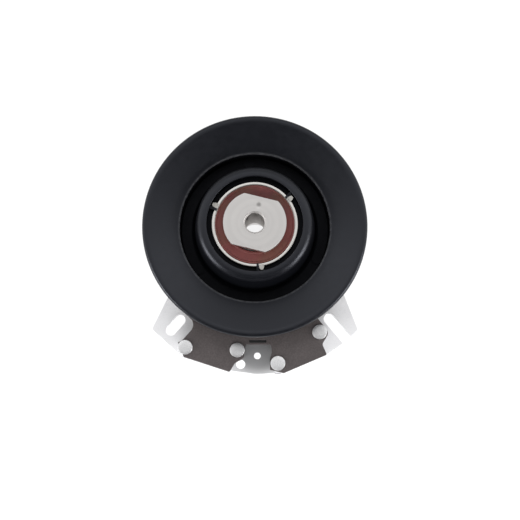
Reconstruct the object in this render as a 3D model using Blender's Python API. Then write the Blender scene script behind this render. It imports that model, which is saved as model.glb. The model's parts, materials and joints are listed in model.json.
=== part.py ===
"""Electric power take-off clutch and brake, lying on the rear face of its field, pulley upwards.

Metres, +Z up. The turning axis is vertical and every piece hangs from one empty on it, so
that the origins of the moving pieces lie on their joint axis. The anti-rotation bracket and
the brake plate point towards -Y. Places in plan are measured from the turning axis, and
heights from the surface that the bracket rests on.
"""
import math

import bmesh
import bpy
from mathutils import Matrix

# Clearances
SEAT_GAP = 0.0003
RUNNING_GAP = 0.0010
POLE_GAP = 0.0006

# Facets of the round pieces
PULLEY_STEPS = 48
CORE_STEPS = 36
BEARING_STEPS = 32
SMALL_STEPS = 12
BEND_STEPS = 3
SMOOTH_ANGLE = math.radians(32)

# Drive hub
BORE_RADIUS = 0.0127
HUB_WALL = 0.0048
HUB_REAR_HEIGHT = 0.0020
NOSE_BORE_RADIUS = 0.0070
NOSE_BORE_LENGTH = 0.0380
NOSE_CHAMFER = 0.0011
BORE_CONE_HEIGHT = 0.0014
HUB_CHAMFER = 0.0008
KEYWAY_WIDTH = 0.00635
KEYWAY_DEPTH = 0.0024
KEYWAY_RUNOUT = 0.0030
COLLAR_WALL = 0.0015
COLLAR_LENGTH = 0.0018
DISC_OVERHANG = 0.0051
DISC_THICKNESS = 0.0040
DISC_EDGE = 0.0005
FLAT_SETBACK = 0.0036
FLAT_ANGLE = math.radians(-14)
RETAINING_RING_THICKNESS = 0.0013
RETAINING_RING_WIDTH = 0.0030
RETAINING_GROOVE_DEPTH = 0.0012

# Ball bearings, both of one size
BEARING_SECTION = 0.0132
BEARING_WIDTH = 0.0140
BALL_RADIUS = 0.00435
BALL_COUNT = 9
RACE_SHOULDER = 0.0033
OUTER_LAND = 0.0021
INNER_LAND = 0.0015
SEAL_RECESS = 0.0017
SEAL_THICKNESS = 0.0011
CAGE_THICKNESS = 0.0028
CAGE_HEIGHT = 0.0060

# Field shell and coil
FIELD_INNER_WALL = 0.0037
COIL_SPACE = 0.0215
FIELD_OUTER_WALL = 0.0035
FIELD_FLOOR = 0.0040
FIELD_SHOULDER = 0.0027
SHOULDER_WIDTH = 0.0033
FIELD_EDGE = 0.0010
CLIP_THICKNESS = 0.0012
CLIP_WIDTH = 0.0038
CLIP_GROOVE_DEPTH = 0.0016
CLIP_OPENING = math.radians(14)
BOBBIN_WALL = 0.0017
BOBBIN_MARGIN = 0.0018
WINDING_MARGIN = 0.0012

# Coil connector
CONNECTOR_WIDTH = 0.0160
CONNECTOR_HEIGHT = 0.0088
CONNECTOR_REACH = 0.0155
CONNECTOR_WALL = 0.0016
CONNECTOR_BASE = 0.0045
CONNECTOR_LIFT = 0.0006
NECK_WIDTH = 0.0110
NECK_HEIGHT = 0.0040
TERMINAL_WIDTH = 0.0028
TERMINAL_THICKNESS = 0.0008
TERMINAL_PITCH = 0.0064
TERMINAL_LENGTH = 0.0062

# Rotor
BOSS_WALL = 0.0127
BOSS_NOSE_WALL = 0.0027
BOSS_LENGTH = 0.0052
ROTOR_THICKNESS = 0.0055
SKIRT_THICKNESS = 0.0040
SKIRT_CLEARANCE = 0.0005
ROTOR_EDGE = 0.0008
FRICTION_INSET = 0.0125
FRICTION_WIDTH = 0.0080
FRICTION_DEPTH = 0.0022
FLUX_SLOT_WIDTH = 0.0030
FLUX_SLOT_INSET = 0.0030
FLUX_SLOT_COUNT = 4
FLUX_SLOT_SPAN = math.radians(66)

# Armature and its leaf springs
ARMATURE_TRAVEL = 0.0004
ARMATURE_THICKNESS = 0.0050
ARMATURE_OVERHANG = 0.0074
ARMATURE_BORE_GAP = 0.0035
ARMATURE_SLOT_SPAN = math.radians(72)
ARMATURE_SLOT_OUTSET = 0.0138
ARMATURE_EDGE = 0.0006
LEAF_COUNT = 3
LEAF_THICKNESS = 0.0008
LEAF_WIDTH = 0.0120
LEAF_SPAN = math.radians(55)
LEAF_START = math.radians(95)
ARMATURE_RIVET_OUTSET = 0.0073
DRIVE_RIVET_RADIUS = 0.0021
DRIVE_HEAD_RADIUS = 0.0034
DRIVE_HEAD_HEIGHT = 0.0014
HEAD_CLEARANCE = 0.0020
FLUSH_HEAD_RADIUS = 0.0028
FLUSH_HEAD_DEPTH = 0.0009

# Pulley
HOUSING_WALL = 0.0103
HOUSING_LIP = 0.0032
HOUSING_RISE = 0.0030
HOUSING_ROUND = 0.0058
HOUSING_DRAFT = 0.0024
MOAT_WIDTH = 0.0124
MOAT_FILLET = 0.0012
FOOT_FILLET = 0.0030
WEB_THICKNESS = 0.0050
WEB_POCKET = 0.0022
POCKET_WALL = 0.0014
RIM_WALL = 0.0090
GROOVE_DEPTH = 0.0180
GROOVE_MOUTH = 0.0140
GROOVE_ANGLE = math.radians(17)
GROOVE_ROOT_FILLET = 0.0010
FLANGE_THICKNESS = 0.0030
REAR_FLANGE_STEP = 0.0025
RIM_ROUND = 0.0011
FRONT_ROUND = 0.0024
CREST_WIDTH = 0.0016
CREST_ROUND = 0.0060
FACE_DISH = 0.0080
LIP_ROUND = 0.0012
BEARING_STAND = 0.0035
PULLEY_SHOULDER = 0.0034
STAKE_ANGLES = (math.radians(159), math.radians(41), math.radians(274))
STAKE_WIDTH = 0.0020
STAKE_REACH = 0.0022
STAKE_THICKNESS = 0.0010
STAKE_SINK = 0.0006
RECESS_DEPTH = 0.0030

# Bracket, brake plate and their rivets
BRACKET_THICKNESS = 0.0030
BRACKET_RISE = 0.0255
BRACKET_BASE_INSET = 0.0040
BRACKET_HOLE_MARGIN = 0.0010
BRACKET_NECK_WIDTH = 0.0700
NECK_OVERLAP = 0.0030
BEND_RADIUS = 0.0030
WALL_CLEARANCE = 0.0019
NECK_RELIEF = 0.0040
SLOT_RADIUS = 0.0040
SLOT_LENGTH = 0.0100
BRAKE_THICKNESS = 0.0030
PAD_THICKNESS = 0.0012
PAD_WIDTH = 0.0060
PAD_SPAN = math.radians(26)
PAD_OFFSET = math.radians(22)
BRAKE_OVERLAP = 0.0075
BRAKE_SPAN = math.radians(37)
SCOOP_RADIUS = 0.0123
SCOOP_END_RADIUS = 0.0135
SLIT_WIDTH = 0.0022
RIVET_RADIUS = 0.0026
RIVET_HEAD_RADIUS = 0.0053
RIVET_HEAD_HEIGHT = 0.0018
RIVET_HEAD_EDGE = 0.0003
SPACER_RADIUS = 0.0046
RIM_CLEARANCE = 0.0008

# Radii that follow, from the shaft outwards
journal_radius = BORE_RADIUS + HUB_WALL
bearing_bore = journal_radius + SEAT_GAP
bearing_radius = bearing_bore + BEARING_SECTION
pitch_radius = (bearing_bore + bearing_radius) / 2
seat_radius = bearing_radius + SEAT_GAP
field_inner_radius = seat_radius + FIELD_INNER_WALL
coil_outer_radius = field_inner_radius + COIL_SPACE
field_radius = coil_outer_radius + FIELD_OUTER_WALL
skirt_inner_radius = field_radius + POLE_GAP
rotor_radius = skirt_inner_radius + SKIRT_THICKNESS
armature_radius = rotor_radius + ARMATURE_OVERHANG
housing_radius = seat_radius + HOUSING_WALL
lip_radius = housing_radius + MOAT_WIDTH
root_radius = lip_radius + RIM_WALL
pulley_radius = root_radius + GROOVE_DEPTH
disc_radius = journal_radius + DISC_OVERHANG
moat_foot_radius = housing_radius + HOUSING_DRAFT
pulley_rivet_circle = (moat_foot_radius + FOOT_FILLET + lip_radius - MOAT_FILLET) / 2
armature_rivet_circle = pulley_rivet_circle + ARMATURE_RIVET_OUTSET
armature_slot_circle = bearing_radius + ARMATURE_SLOT_OUTSET

# Heights that follow, from the resting face upwards
field_base = BRACKET_THICKNESS + SEAT_GAP
field_bearing_base = field_base + FIELD_SHOULDER + SEAT_GAP
field_bearing_top = field_bearing_base + BEARING_WIDTH
clip_base = field_bearing_top + SEAT_GAP
clip_top = clip_base + CLIP_THICKNESS
boss_base = clip_top + RUNNING_GAP
rotor_back = boss_base + BOSS_LENGTH
rotor_face = rotor_back + ROTOR_THICKNESS
field_top = rotor_back - RUNNING_GAP
neck_base = field_base + FIELD_FLOOR + BOBBIN_MARGIN
connector_middle = neck_base + NECK_HEIGHT / 2
skirt_base = connector_middle + CONNECTOR_HEIGHT / 2 + SKIRT_CLEARANCE
armature_base = rotor_face + ARMATURE_TRAVEL + SEAT_GAP
armature_top = armature_base + ARMATURE_THICKNESS
leaf_base = armature_top + SEAT_GAP
leaf_top = leaf_base + LEAF_THICKNESS
web_base = leaf_top + SEAT_GAP
moat_floor = web_base + WEB_THICKNESS
pad_base = armature_top + SEAT_GAP
pad_top = pad_base + PAD_THICKNESS
brake_base = pad_top + SEAT_GAP
brake_top = brake_base + BRAKE_THICKNESS
rivet_head_base = brake_top + SEAT_GAP
rivet_top = rivet_head_base + RIVET_HEAD_HEIGHT
rim_base = rivet_top + RIM_CLEARANCE
rim_face = rim_base + 2 * FLANGE_THICKNESS + GROOVE_MOUTH
pulley_bearing_top = rim_face + BEARING_STAND
pulley_bearing_base = pulley_bearing_top - BEARING_WIDTH
collar_base = pulley_bearing_top + SEAT_GAP
disc_base = collar_base + COLLAR_LENGTH
disc_top = disc_base + DISC_THICKNESS
nose_bore_base = disc_top - NOSE_BORE_LENGTH
bracket_shelf = BRACKET_RISE - BRACKET_THICKNESS

# Plan of the bracket and the brake plate: x, and y counted from the bracket's wall, downwards below zero.
# A corner's third value is its radius.
bend_y = -(rotor_radius + WALL_CLEARANCE)
RIVET_PLACES = ((-0.0502, -0.0190), (-0.0127, -0.0210), (0.0166, -0.0306), (0.0468, -0.0079))
LEFT_SLOT_END = (-0.0549, 0.0036)
LEFT_SLOT_TURN = math.radians(228.7)
RIGHT_SLOT_END = (0.0544, 0.0044)
RIGHT_SLOT_TURN = math.radians(-49.8)
SMALL_HOLE = (0.0018, -0.0228, 0.0025)
LARGE_HOLE = (-0.0104, -0.0290, 0.0034)
SLIT_ENDS = ((-0.0041, -0.0133), (0.0083, -0.0133))
LEFT_EAR_TOP = math.radians(218.5)
RIGHT_EAR_TOP = math.radians(-34.5)
LEFT_EAR_TIP = (-0.0754, -0.0031, 0.0015)
LEFT_EAR_SHOULDER = (-0.0615, 0.0253, 0.0030)
SHELF_CORNERS = (
    (-0.0521, -0.0240, 0.0010),
    (-0.0188, -0.0334, 0.0040),
    (0.0017, -0.0362, 0.0300),
    (0.0206, -0.0348, 0.0030),
    (0.0525, -0.0216, 0.0010),
    (0.0633, -0.0142, 0.0010),
    (0.0705, -0.0081, 0.0000),
    (0.0754, -0.0035, 0.0015),
    (0.0626, 0.0295, 0.0030),
)
BRAKE_CORNERS = (
    (-0.0570, 0.0060, 0.0000),
    (-0.0560, -0.0140, 0.0000),
    (-0.0513, -0.0257, 0.0010),
    (-0.0187, -0.0364, 0.0008),
    (-0.0177, -0.0358, 0.0000),
    (-0.0146, -0.0303, 0.0030),
    (-0.0078, -0.0262, 0.0030),
    (-0.0068, -0.0167, 0.0010),
    (0.0119, -0.0167, 0.0020),
    (0.0123, -0.0225, 0.0030),
    (0.0108, -0.0275, 0.0030),
    (0.0110, -0.0350, 0.0000),
    (0.0209, -0.0374, 0.0010),
    (0.0519, -0.0241, 0.0008),
    (0.0486, -0.0164, 0.0030),
    (0.0536, -0.0084, 0.0040),
    (0.0460, 0.0016, 0.0040),
)


def below_wall(x, drop, *radius):
    """A place in plan whose height on the sheet is counted from the bracket's wall."""
    return x, bend_y + drop, *radius


def material(name, colour, roughness, metallic):
    made = bpy.data.materials.new(name)
    made.use_nodes = True
    shader = made.node_tree.nodes["Principled BSDF"]
    shader.inputs["Base Color"].default_value = (*colour, 1.0)
    shader.inputs["Roughness"].default_value = roughness
    shader.inputs["Metallic"].default_value = metallic
    made.diffuse_color = (*colour, 1.0)
    return made


def circle(x, y, radius, steps=SMALL_STEPS):
    return [
        (x + radius * math.cos(2 * math.pi * k / steps), y + radius * math.sin(2 * math.pi * k / steps))
        for k in range(steps)
    ]


def arc(x, y, radius, start, end, steps):
    return [
        (
            x + radius * math.cos(start + (end - start) * k / steps),
            y + radius * math.sin(start + (end - start) * k / steps),
        )
        for k in range(steps + 1)
    ]


def taper_slot(x0, y0, radius0, x1, y1, radius1, steps=6):
    """Two circles and the straight lines that touch both."""
    turn = math.atan2(y1 - y0, x1 - x0)
    lean = math.acos((radius0 - radius1) / math.hypot(x1 - x0, y1 - y0))
    near = arc(x0, y0, radius0, turn + lean, turn + 2 * math.pi - lean, steps)
    far = arc(x1, y1, radius1, turn - lean, turn + lean, steps)
    return near + far


def ring_slot(radius, width, middle, span, steps=6):
    """A curved slot along a circle round the axis, with round ends."""
    half = width / 2
    start = middle - span / 2
    end = middle + span / 2
    outline = arc(0, 0, radius + half, start, end, steps)
    outline += arc(radius * math.cos(end), radius * math.sin(end), half, end, end + math.pi, 3)[1:-1]
    outline += arc(0, 0, radius - half, end, start, steps)
    near_x = radius * math.cos(start)
    near_y = radius * math.sin(start)
    outline += arc(near_x, near_y, half, start + math.pi, start + 2 * math.pi, 3)[1:-1]
    return outline


def rounded(corners, steps=BEND_STEPS):
    """An outline from corners (x, y, radius), each rounded by its own radius."""
    outline = []
    count = len(corners)
    for index, (x, y, radius) in enumerate(corners):
        if radius <= 0:
            outline.append((x, y))
            continue
        px, py, _ = corners[index - 1]
        nx, ny, _ = corners[(index + 1) % count]
        back = math.atan2(py - y, px - x)
        ahead = math.atan2(ny - y, nx - x)
        opening = (ahead - back + math.pi) % (2 * math.pi) - math.pi
        reach = radius / abs(math.tan(opening / 2))
        centre = radius / abs(math.sin(opening / 2))
        bisector = back + opening / 2
        cx = x + centre * math.cos(bisector)
        cy = y + centre * math.sin(bisector)
        sx = x + reach * math.cos(back)
        sy = y + reach * math.sin(back)
        start = math.atan2(sy - cy, sx - cx)
        swing = math.copysign(math.pi - abs(opening), -opening)
        outline += arc(cx, cy, radius, start, start + swing, steps)
    return outline


def place(name, bm, finish):
    """Make a smooth-shaded object of the mesh, carried by the empty on the turning axis."""
    bmesh.ops.recalc_face_normals(bm, faces=bm.faces)
    mesh = bpy.data.meshes.new(name)
    bm.to_mesh(mesh)
    bm.free()
    mesh.materials.append(finish)
    mesh.shade_smooth()
    mesh.set_sharp_from_angle(angle=SMOOTH_ANGLE)
    made = bpy.data.objects.new(name, mesh)
    bpy.context.scene.collection.objects.link(made)
    made.parent = axis_empty
    return made


def spin_profile(bm, profile, steps, closed=True):
    """Turn a profile of (radius, height) once round the axis."""
    verts = [bm.verts.new((radius, 0.0, height)) for radius, height in profile]
    first = 0 if closed else 1
    edges = [bm.edges.new((verts[k - 1], verts[k])) for k in range(first, len(verts))]
    turn = 2 * math.pi
    bmesh.ops.spin(
        bm, geom=verts + edges, cent=(0, 0, 0), axis=(0, 0, 1), angle=turn, steps=steps, use_merge=True
    )


def turned(name, profile, finish, steps=CORE_STEPS):
    bm = bmesh.new()
    spin_profile(bm, profile, steps)
    return place(name, bm, finish)


def extrude(bm, points, shift):
    """A prism from a flat polygon of points. Returns its vertices."""
    face = bm.faces.new([bm.verts.new(point) for point in points])
    grown = bmesh.ops.extrude_face_region(bm, geom=[face])["geom"]
    moved = [part for part in grown if isinstance(part, bmesh.types.BMVert)]
    bmesh.ops.translate(bm, verts=moved, vec=shift)
    return list(face.verts) + moved


def raise_outline(bm, outline, base, top):
    extrude(bm, [(x, y, base) for x, y in outline], (0, 0, top - base))


def plate(name, outline, base, top, finish):
    bm = bmesh.new()
    raise_outline(bm, outline, base, top)
    return place(name, bm, finish)


def add_box(bm, low, high):
    corners = [(low[0], low[1]), (high[0], low[1]), (high[0], high[1]), (low[0], high[1])]
    raise_outline(bm, corners, low[2], high[2])


def cutter(name, outlines, base, top):
    """Upright prisms that only cut or join, so they aren't rendered."""
    bm = bmesh.new()
    for outline in outlines:
        raise_outline(bm, outline, base, top)
    return guide(name, bm)


def guide(name, bm):
    made = place(name, bm, guide_finish)
    made.hide_render = True
    made.display_type = "WIRE"
    return made


def combine(target, tool, operation="DIFFERENCE"):
    step = target.modifiers.new(tool.name, "BOOLEAN")
    step.operation = operation
    step.object = tool
    step.solver = "EXACT"


def rivet(name, x, y, heads, radius, head_radius, finish, edge=0.0):
    """A rivet with a flat head at both ends. The heads are ((low, high), (low, high)) in height."""
    (low_base, low_top), (high_base, high_top) = heads
    profile = [
        (0, low_base),
        (head_radius - edge, low_base),
        (head_radius, low_base + edge),
        (head_radius, low_top),
        (radius, low_top),
        (radius, high_base),
        (head_radius, high_base),
        (head_radius, high_top - edge),
        (head_radius - edge, high_top),
        (0, high_top),
    ]
    if edge <= 0:
        profile = [point for k, point in enumerate(profile) if point != profile[k - 1]]
    return place(name, spun_pin(x, y, profile), finish)


def spun_pin(x, y, profile):
    """Turn a half section that starts and ends on its own axis, and move it to its place in plan."""
    bm = bmesh.new()
    spin_profile(bm, profile, SMALL_STEPS, closed=False)
    bmesh.ops.remove_doubles(bm, verts=bm.verts, dist=1e-7)
    bmesh.ops.translate(bm, verts=bm.verts, vec=(x, y, 0))
    return bm


def make_bearing(prefix, base):
    """A sealed deep-groove ball bearing: two races, two seals, and a cage with its balls."""
    middle = base + BEARING_WIDTH / 2
    top = base + BEARING_WIDTH
    groove = BALL_RADIUS + SEAT_GAP
    meet = math.acos(RACE_SHOULDER / groove)
    land_out = bearing_radius - OUTER_LAND
    land_in = bearing_bore + INNER_LAND
    recess_low = base + SEAL_RECESS
    recess_high = top - SEAL_RECESS
    outer = [(bearing_radius, base), (bearing_radius, top), (land_out, top), (land_out, recess_high)]
    outer += [(pitch_radius + RACE_SHOULDER, recess_high)]
    outer += [(pitch_radius + u, middle + v) for u, v in arc(0, 0, groove, meet, -meet, 3)]
    outer += [(pitch_radius + RACE_SHOULDER, recess_low), (land_out, recess_low), (land_out, base)]
    inner = [(bearing_bore, base), (land_in, base), (land_in, recess_low)]
    inner += [(pitch_radius - RACE_SHOULDER, recess_low)]
    inner += [(pitch_radius - u, middle + v) for u, v in arc(0, 0, groove, -meet, meet, 3)]
    inner += [(pitch_radius - RACE_SHOULDER, recess_high), (land_in, recess_high)]
    inner += [(land_in, top), (bearing_bore, top)]
    turned(prefix + "_outer_race", outer, race_steel, BEARING_STEPS)
    turned(prefix + "_inner_race", inner, race_steel, BEARING_STEPS)
    seal_in = land_in + SEAT_GAP
    seal_out = land_out - SEAT_GAP
    for side, seal_base in (("rear", base + SEAT_GAP), ("front", top - SEAT_GAP - SEAL_THICKNESS)):
        seal_top = seal_base + SEAL_THICKNESS
        profile = [(seal_in, seal_base), (seal_out, seal_base), (seal_out, seal_top), (seal_in, seal_top)]
        turned(f"{prefix}_seal_{side}", profile, seal_rubber, BEARING_STEPS)
    cage_in = pitch_radius - CAGE_THICKNESS / 2
    cage_out = pitch_radius + CAGE_THICKNESS / 2
    cage_low = middle - CAGE_HEIGHT / 2
    cage_high = middle + CAGE_HEIGHT / 2
    ring = [(cage_in, cage_low), (cage_out, cage_low), (cage_out, cage_high), (cage_in, cage_high)]
    cage = turned(prefix + "_cage", ring, cage_finish, 2 * BALL_COUNT)
    bm = bmesh.new()
    for k in range(BALL_COUNT):
        turn = 2 * math.pi * (k + 0.5) / BALL_COUNT
        made = bmesh.ops.create_icosphere(bm, subdivisions=2, radius=BALL_RADIUS)
        centre = (pitch_radius * math.cos(turn), pitch_radius * math.sin(turn), middle)
        bmesh.ops.translate(bm, verts=made["verts"], vec=centre)
    combine(cage, guide(prefix + "_balls", bm), "UNION")


def make_drive_hub():
    """The hub turned in one piece with its front disc, with a keyed crank bore and a narrow nose bore."""
    ring_low = field_bearing_base - SEAT_GAP - RETAINING_RING_THICKNESS
    groove_radius = journal_radius - RETAINING_GROOVE_DEPTH
    collar_radius = journal_radius + COLLAR_WALL
    profile = [
        (BORE_RADIUS + HUB_CHAMFER, HUB_REAR_HEIGHT),
        (journal_radius - HUB_CHAMFER, HUB_REAR_HEIGHT),
        (journal_radius, HUB_REAR_HEIGHT + HUB_CHAMFER),
        (journal_radius, ring_low),
        (groove_radius, ring_low),
        (groove_radius, field_bearing_base - SEAT_GAP),
        (journal_radius, field_bearing_base - SEAT_GAP),
        (journal_radius, collar_base),
        (collar_radius, collar_base),
        (collar_radius, disc_base),
        (disc_radius, disc_base),
        (disc_radius, disc_top - DISC_EDGE),
        (disc_radius - DISC_EDGE, disc_top),
        (NOSE_BORE_RADIUS + NOSE_CHAMFER, disc_top),
        (NOSE_BORE_RADIUS, disc_top - NOSE_CHAMFER),
        (NOSE_BORE_RADIUS, nose_bore_base),
        (BORE_RADIUS, nose_bore_base - BORE_CONE_HEIGHT),
        (BORE_RADIUS, HUB_REAR_HEIGHT + HUB_CHAMFER),
    ]
    hub = turned("drive_hub", profile, disc_steel, BEARING_STEPS)
    bm = bmesh.new()
    flat_from = disc_radius - FLAT_SETBACK
    reach = 2 * disc_radius
    for side in (-1, 1):
        low_y = min(side * flat_from, side * reach)
        high_y = max(side * flat_from, side * reach)
        add_box(bm, (-reach, low_y, disc_base - SEAT_GAP), (reach, high_y, disc_top + RUNNING_GAP))
    bmesh.ops.rotate(bm, verts=bm.verts, cent=(0, 0, 0), matrix=Matrix.Rotation(FLAT_ANGLE, 3, "Z"))
    combine(hub, guide("hub_flats", bm))
    bm = bmesh.new()
    half = KEYWAY_WIDTH / 2
    key_top = nose_bore_base - KEYWAY_RUNOUT
    add_box(bm, (-half, -BORE_RADIUS - KEYWAY_DEPTH, -RUNNING_GAP), (half, 0, key_top))
    combine(hub, guide("hub_keyway", bm))


def make_hub_rings():
    """The retaining ring behind the field bearing, and the spacer in front of the rotor."""
    ring_top = field_bearing_base - SEAT_GAP - SEAT_GAP
    ring_low = ring_top - RETAINING_RING_THICKNESS + 2 * SEAT_GAP
    inner = journal_radius - RETAINING_GROOVE_DEPTH + SEAT_GAP
    outer = inner + RETAINING_RING_WIDTH
    open_ring("hub_retaining_ring", inner, outer, ring_low, ring_top, -math.pi / 2)
    spacer = [
        (bearing_bore, rotor_face + SEAT_GAP),
        (bearing_bore + BOSS_NOSE_WALL, rotor_face + SEAT_GAP),
        (bearing_bore + BOSS_NOSE_WALL, pulley_bearing_base - SEAT_GAP),
        (bearing_bore, pulley_bearing_base - SEAT_GAP),
    ]
    turned("bearing_spacer", spacer, plain_steel, BEARING_STEPS)


def open_ring(name, inner, outer, base, top, opening_at):
    """A snap ring: a flat ring with a gap between its two ends."""
    start = opening_at + CLIP_OPENING
    end = opening_at + 2 * math.pi - CLIP_OPENING
    outline = arc(0, 0, outer, start, end, BEARING_STEPS) + arc(0, 0, inner, end, start, BEARING_STEPS)
    return plate(name, outline, base, top, spring_steel)


def make_field_shell():
    """The steel cup of the field, with the seat of its bearing inside."""
    shoulder_radius = bearing_radius - SHOULDER_WIDTH
    groove_radius = seat_radius + CLIP_GROOVE_DEPTH
    profile = [
        (shoulder_radius, field_base),
        (field_radius - FIELD_EDGE, field_base),
        (field_radius, field_base + FIELD_EDGE),
        (field_radius, field_top),
        (coil_outer_radius, field_top),
        (coil_outer_radius, field_base + FIELD_FLOOR),
        (field_inner_radius, field_base + FIELD_FLOOR),
        (field_inner_radius, field_top),
        (seat_radius, field_top),
        (seat_radius, clip_top),
        (groove_radius, clip_top),
        (groove_radius, clip_base - SEAT_GAP / 2),
        (seat_radius, clip_base - SEAT_GAP / 2),
        (seat_radius, field_base + FIELD_SHOULDER),
        (shoulder_radius, field_base + FIELD_SHOULDER),
    ]
    shell = turned("field_shell", profile, field_paint)
    bm = bmesh.new()
    half = NECK_WIDTH / 2 + SEAT_GAP
    low = neck_base - SEAT_GAP
    high = neck_base + NECK_HEIGHT + SEAT_GAP
    add_box(bm, (-field_radius - RUNNING_GAP, -half, low), (-coil_outer_radius + RUNNING_GAP, half, high))
    combine(shell, guide("lead_window", bm))
    outer = groove_radius - SEAT_GAP
    open_ring("field_bearing_clip", outer - CLIP_WIDTH, outer, clip_base, clip_top - SEAT_GAP, math.pi / 2)


def make_coil():
    """The winding on its bobbin, and the connector that its ends come out at."""
    low = field_base + FIELD_FLOOR + SEAT_GAP
    high = field_top - BOBBIN_MARGIN
    inner = field_inner_radius + SEAT_GAP
    outer = coil_outer_radius - SEAT_GAP
    floor_top = neck_base + NECK_HEIGHT
    profile = [
        (inner, low),
        (outer, low),
        (outer, floor_top),
        (inner + BOBBIN_WALL, floor_top),
        (inner + BOBBIN_WALL, high - BOBBIN_WALL),
        (outer, high - BOBBIN_WALL),
        (outer, high),
        (inner, high),
    ]
    turned("coil_bobbin", profile, bobbin_plastic)
    wound_in = inner + BOBBIN_WALL + SEAT_GAP
    wound_out = outer - WINDING_MARGIN
    wound_low = floor_top + SEAT_GAP
    wound_high = high - BOBBIN_WALL - SEAT_GAP
    winding = [(wound_in, wound_low), (wound_out, wound_low), (wound_out, wound_high), (wound_in, wound_high)]
    turned("coil_winding", winding, copper)
    make_connector()


def make_connector():
    """A two-pin socket on a neck that runs through the shell's window to the bobbin."""
    face_x = -(field_radius + CONNECTOR_LIFT)
    tip_x = face_x - CONNECTOR_REACH
    low = connector_middle - CONNECTOR_HEIGHT / 2
    high = connector_middle + CONNECTOR_HEIGHT / 2
    half = CONNECTOR_WIDTH / 2
    bm = bmesh.new()
    add_box(bm, (tip_x, -half, low), (face_x, half, high))
    socket = place("coil_connector", bm, connector_plastic)
    bm = bmesh.new()
    neck_half = NECK_WIDTH / 2
    neck_end = -(coil_outer_radius - SEAT_GAP) - SEAT_GAP
    add_box(bm, (face_x - RUNNING_GAP, -neck_half, neck_base), (neck_end, neck_half, neck_base + NECK_HEIGHT))
    combine(socket, guide("connector_neck", bm), "UNION")
    bm = bmesh.new()
    wall = CONNECTOR_WALL
    mouth_end = face_x - CONNECTOR_BASE
    add_box(bm, (tip_x - RUNNING_GAP, wall - half, low + wall), (mouth_end, half - wall, high - wall))
    combine(socket, guide("connector_mouth", bm))
    for index, side in enumerate((-1, 1), start=1):
        bm = bmesh.new()
        y = side * TERMINAL_PITCH / 2
        blade_base = connector_middle - TERMINAL_THICKNESS / 2
        blade_low = (mouth_end - TERMINAL_LENGTH, y - TERMINAL_WIDTH / 2, blade_base)
        blade_high = (mouth_end - SEAT_GAP, y + TERMINAL_WIDTH / 2, blade_base + TERMINAL_THICKNESS)
        add_box(bm, blade_low, blade_high)
        place(f"connector_terminal_{index}", bm, brass)


def make_rotor():
    """The rotor: boss on the hub, slotted pole face with its friction ring, and skirt round the field."""
    boss_radius = bearing_bore + BOSS_WALL
    nose_radius = bearing_bore + BOSS_NOSE_WALL
    friction_out = rotor_radius - FRICTION_INSET
    friction_in = friction_out - FRICTION_WIDTH
    profile = [
        (bearing_bore, field_bearing_top + SEAT_GAP),
        (nose_radius, field_bearing_top + SEAT_GAP),
        (nose_radius, boss_base),
        (boss_radius, boss_base),
        (boss_radius, rotor_back),
        (skirt_inner_radius, rotor_back),
        (skirt_inner_radius, skirt_base),
        (rotor_radius, skirt_base),
        (rotor_radius, rotor_face - ROTOR_EDGE),
        (rotor_radius - ROTOR_EDGE, rotor_face),
        (friction_out, rotor_face),
        (friction_out, rotor_face - FRICTION_DEPTH),
        (friction_in, rotor_face - FRICTION_DEPTH),
        (friction_in, rotor_face),
        (bearing_bore, rotor_face),
    ]
    rotor = turned("rotor", profile, plain_steel)
    slot_inset = FLUX_SLOT_INSET + FLUX_SLOT_WIDTH / 2
    outlines = []
    for radius, offset in ((friction_in - slot_inset, 0.0), (friction_out + slot_inset, 0.5)):
        for k in range(FLUX_SLOT_COUNT):
            middle = 2 * math.pi * (k + offset) / FLUX_SLOT_COUNT
            outlines.append(ring_slot(radius, FLUX_SLOT_WIDTH, middle, FLUX_SLOT_SPAN))
    combine(rotor, cutter("rotor_slots", outlines, rotor_back - RUNNING_GAP, rotor_face + RUNNING_GAP))
    ring_low = rotor_face - FRICTION_DEPTH + SEAT_GAP
    ring = [
        (friction_in + SEAT_GAP, ring_low),
        (friction_out - SEAT_GAP, ring_low),
        (friction_out - SEAT_GAP, rotor_face),
        (friction_in + SEAT_GAP, rotor_face),
    ]
    turned("friction_ring", ring, friction_material)


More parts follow.
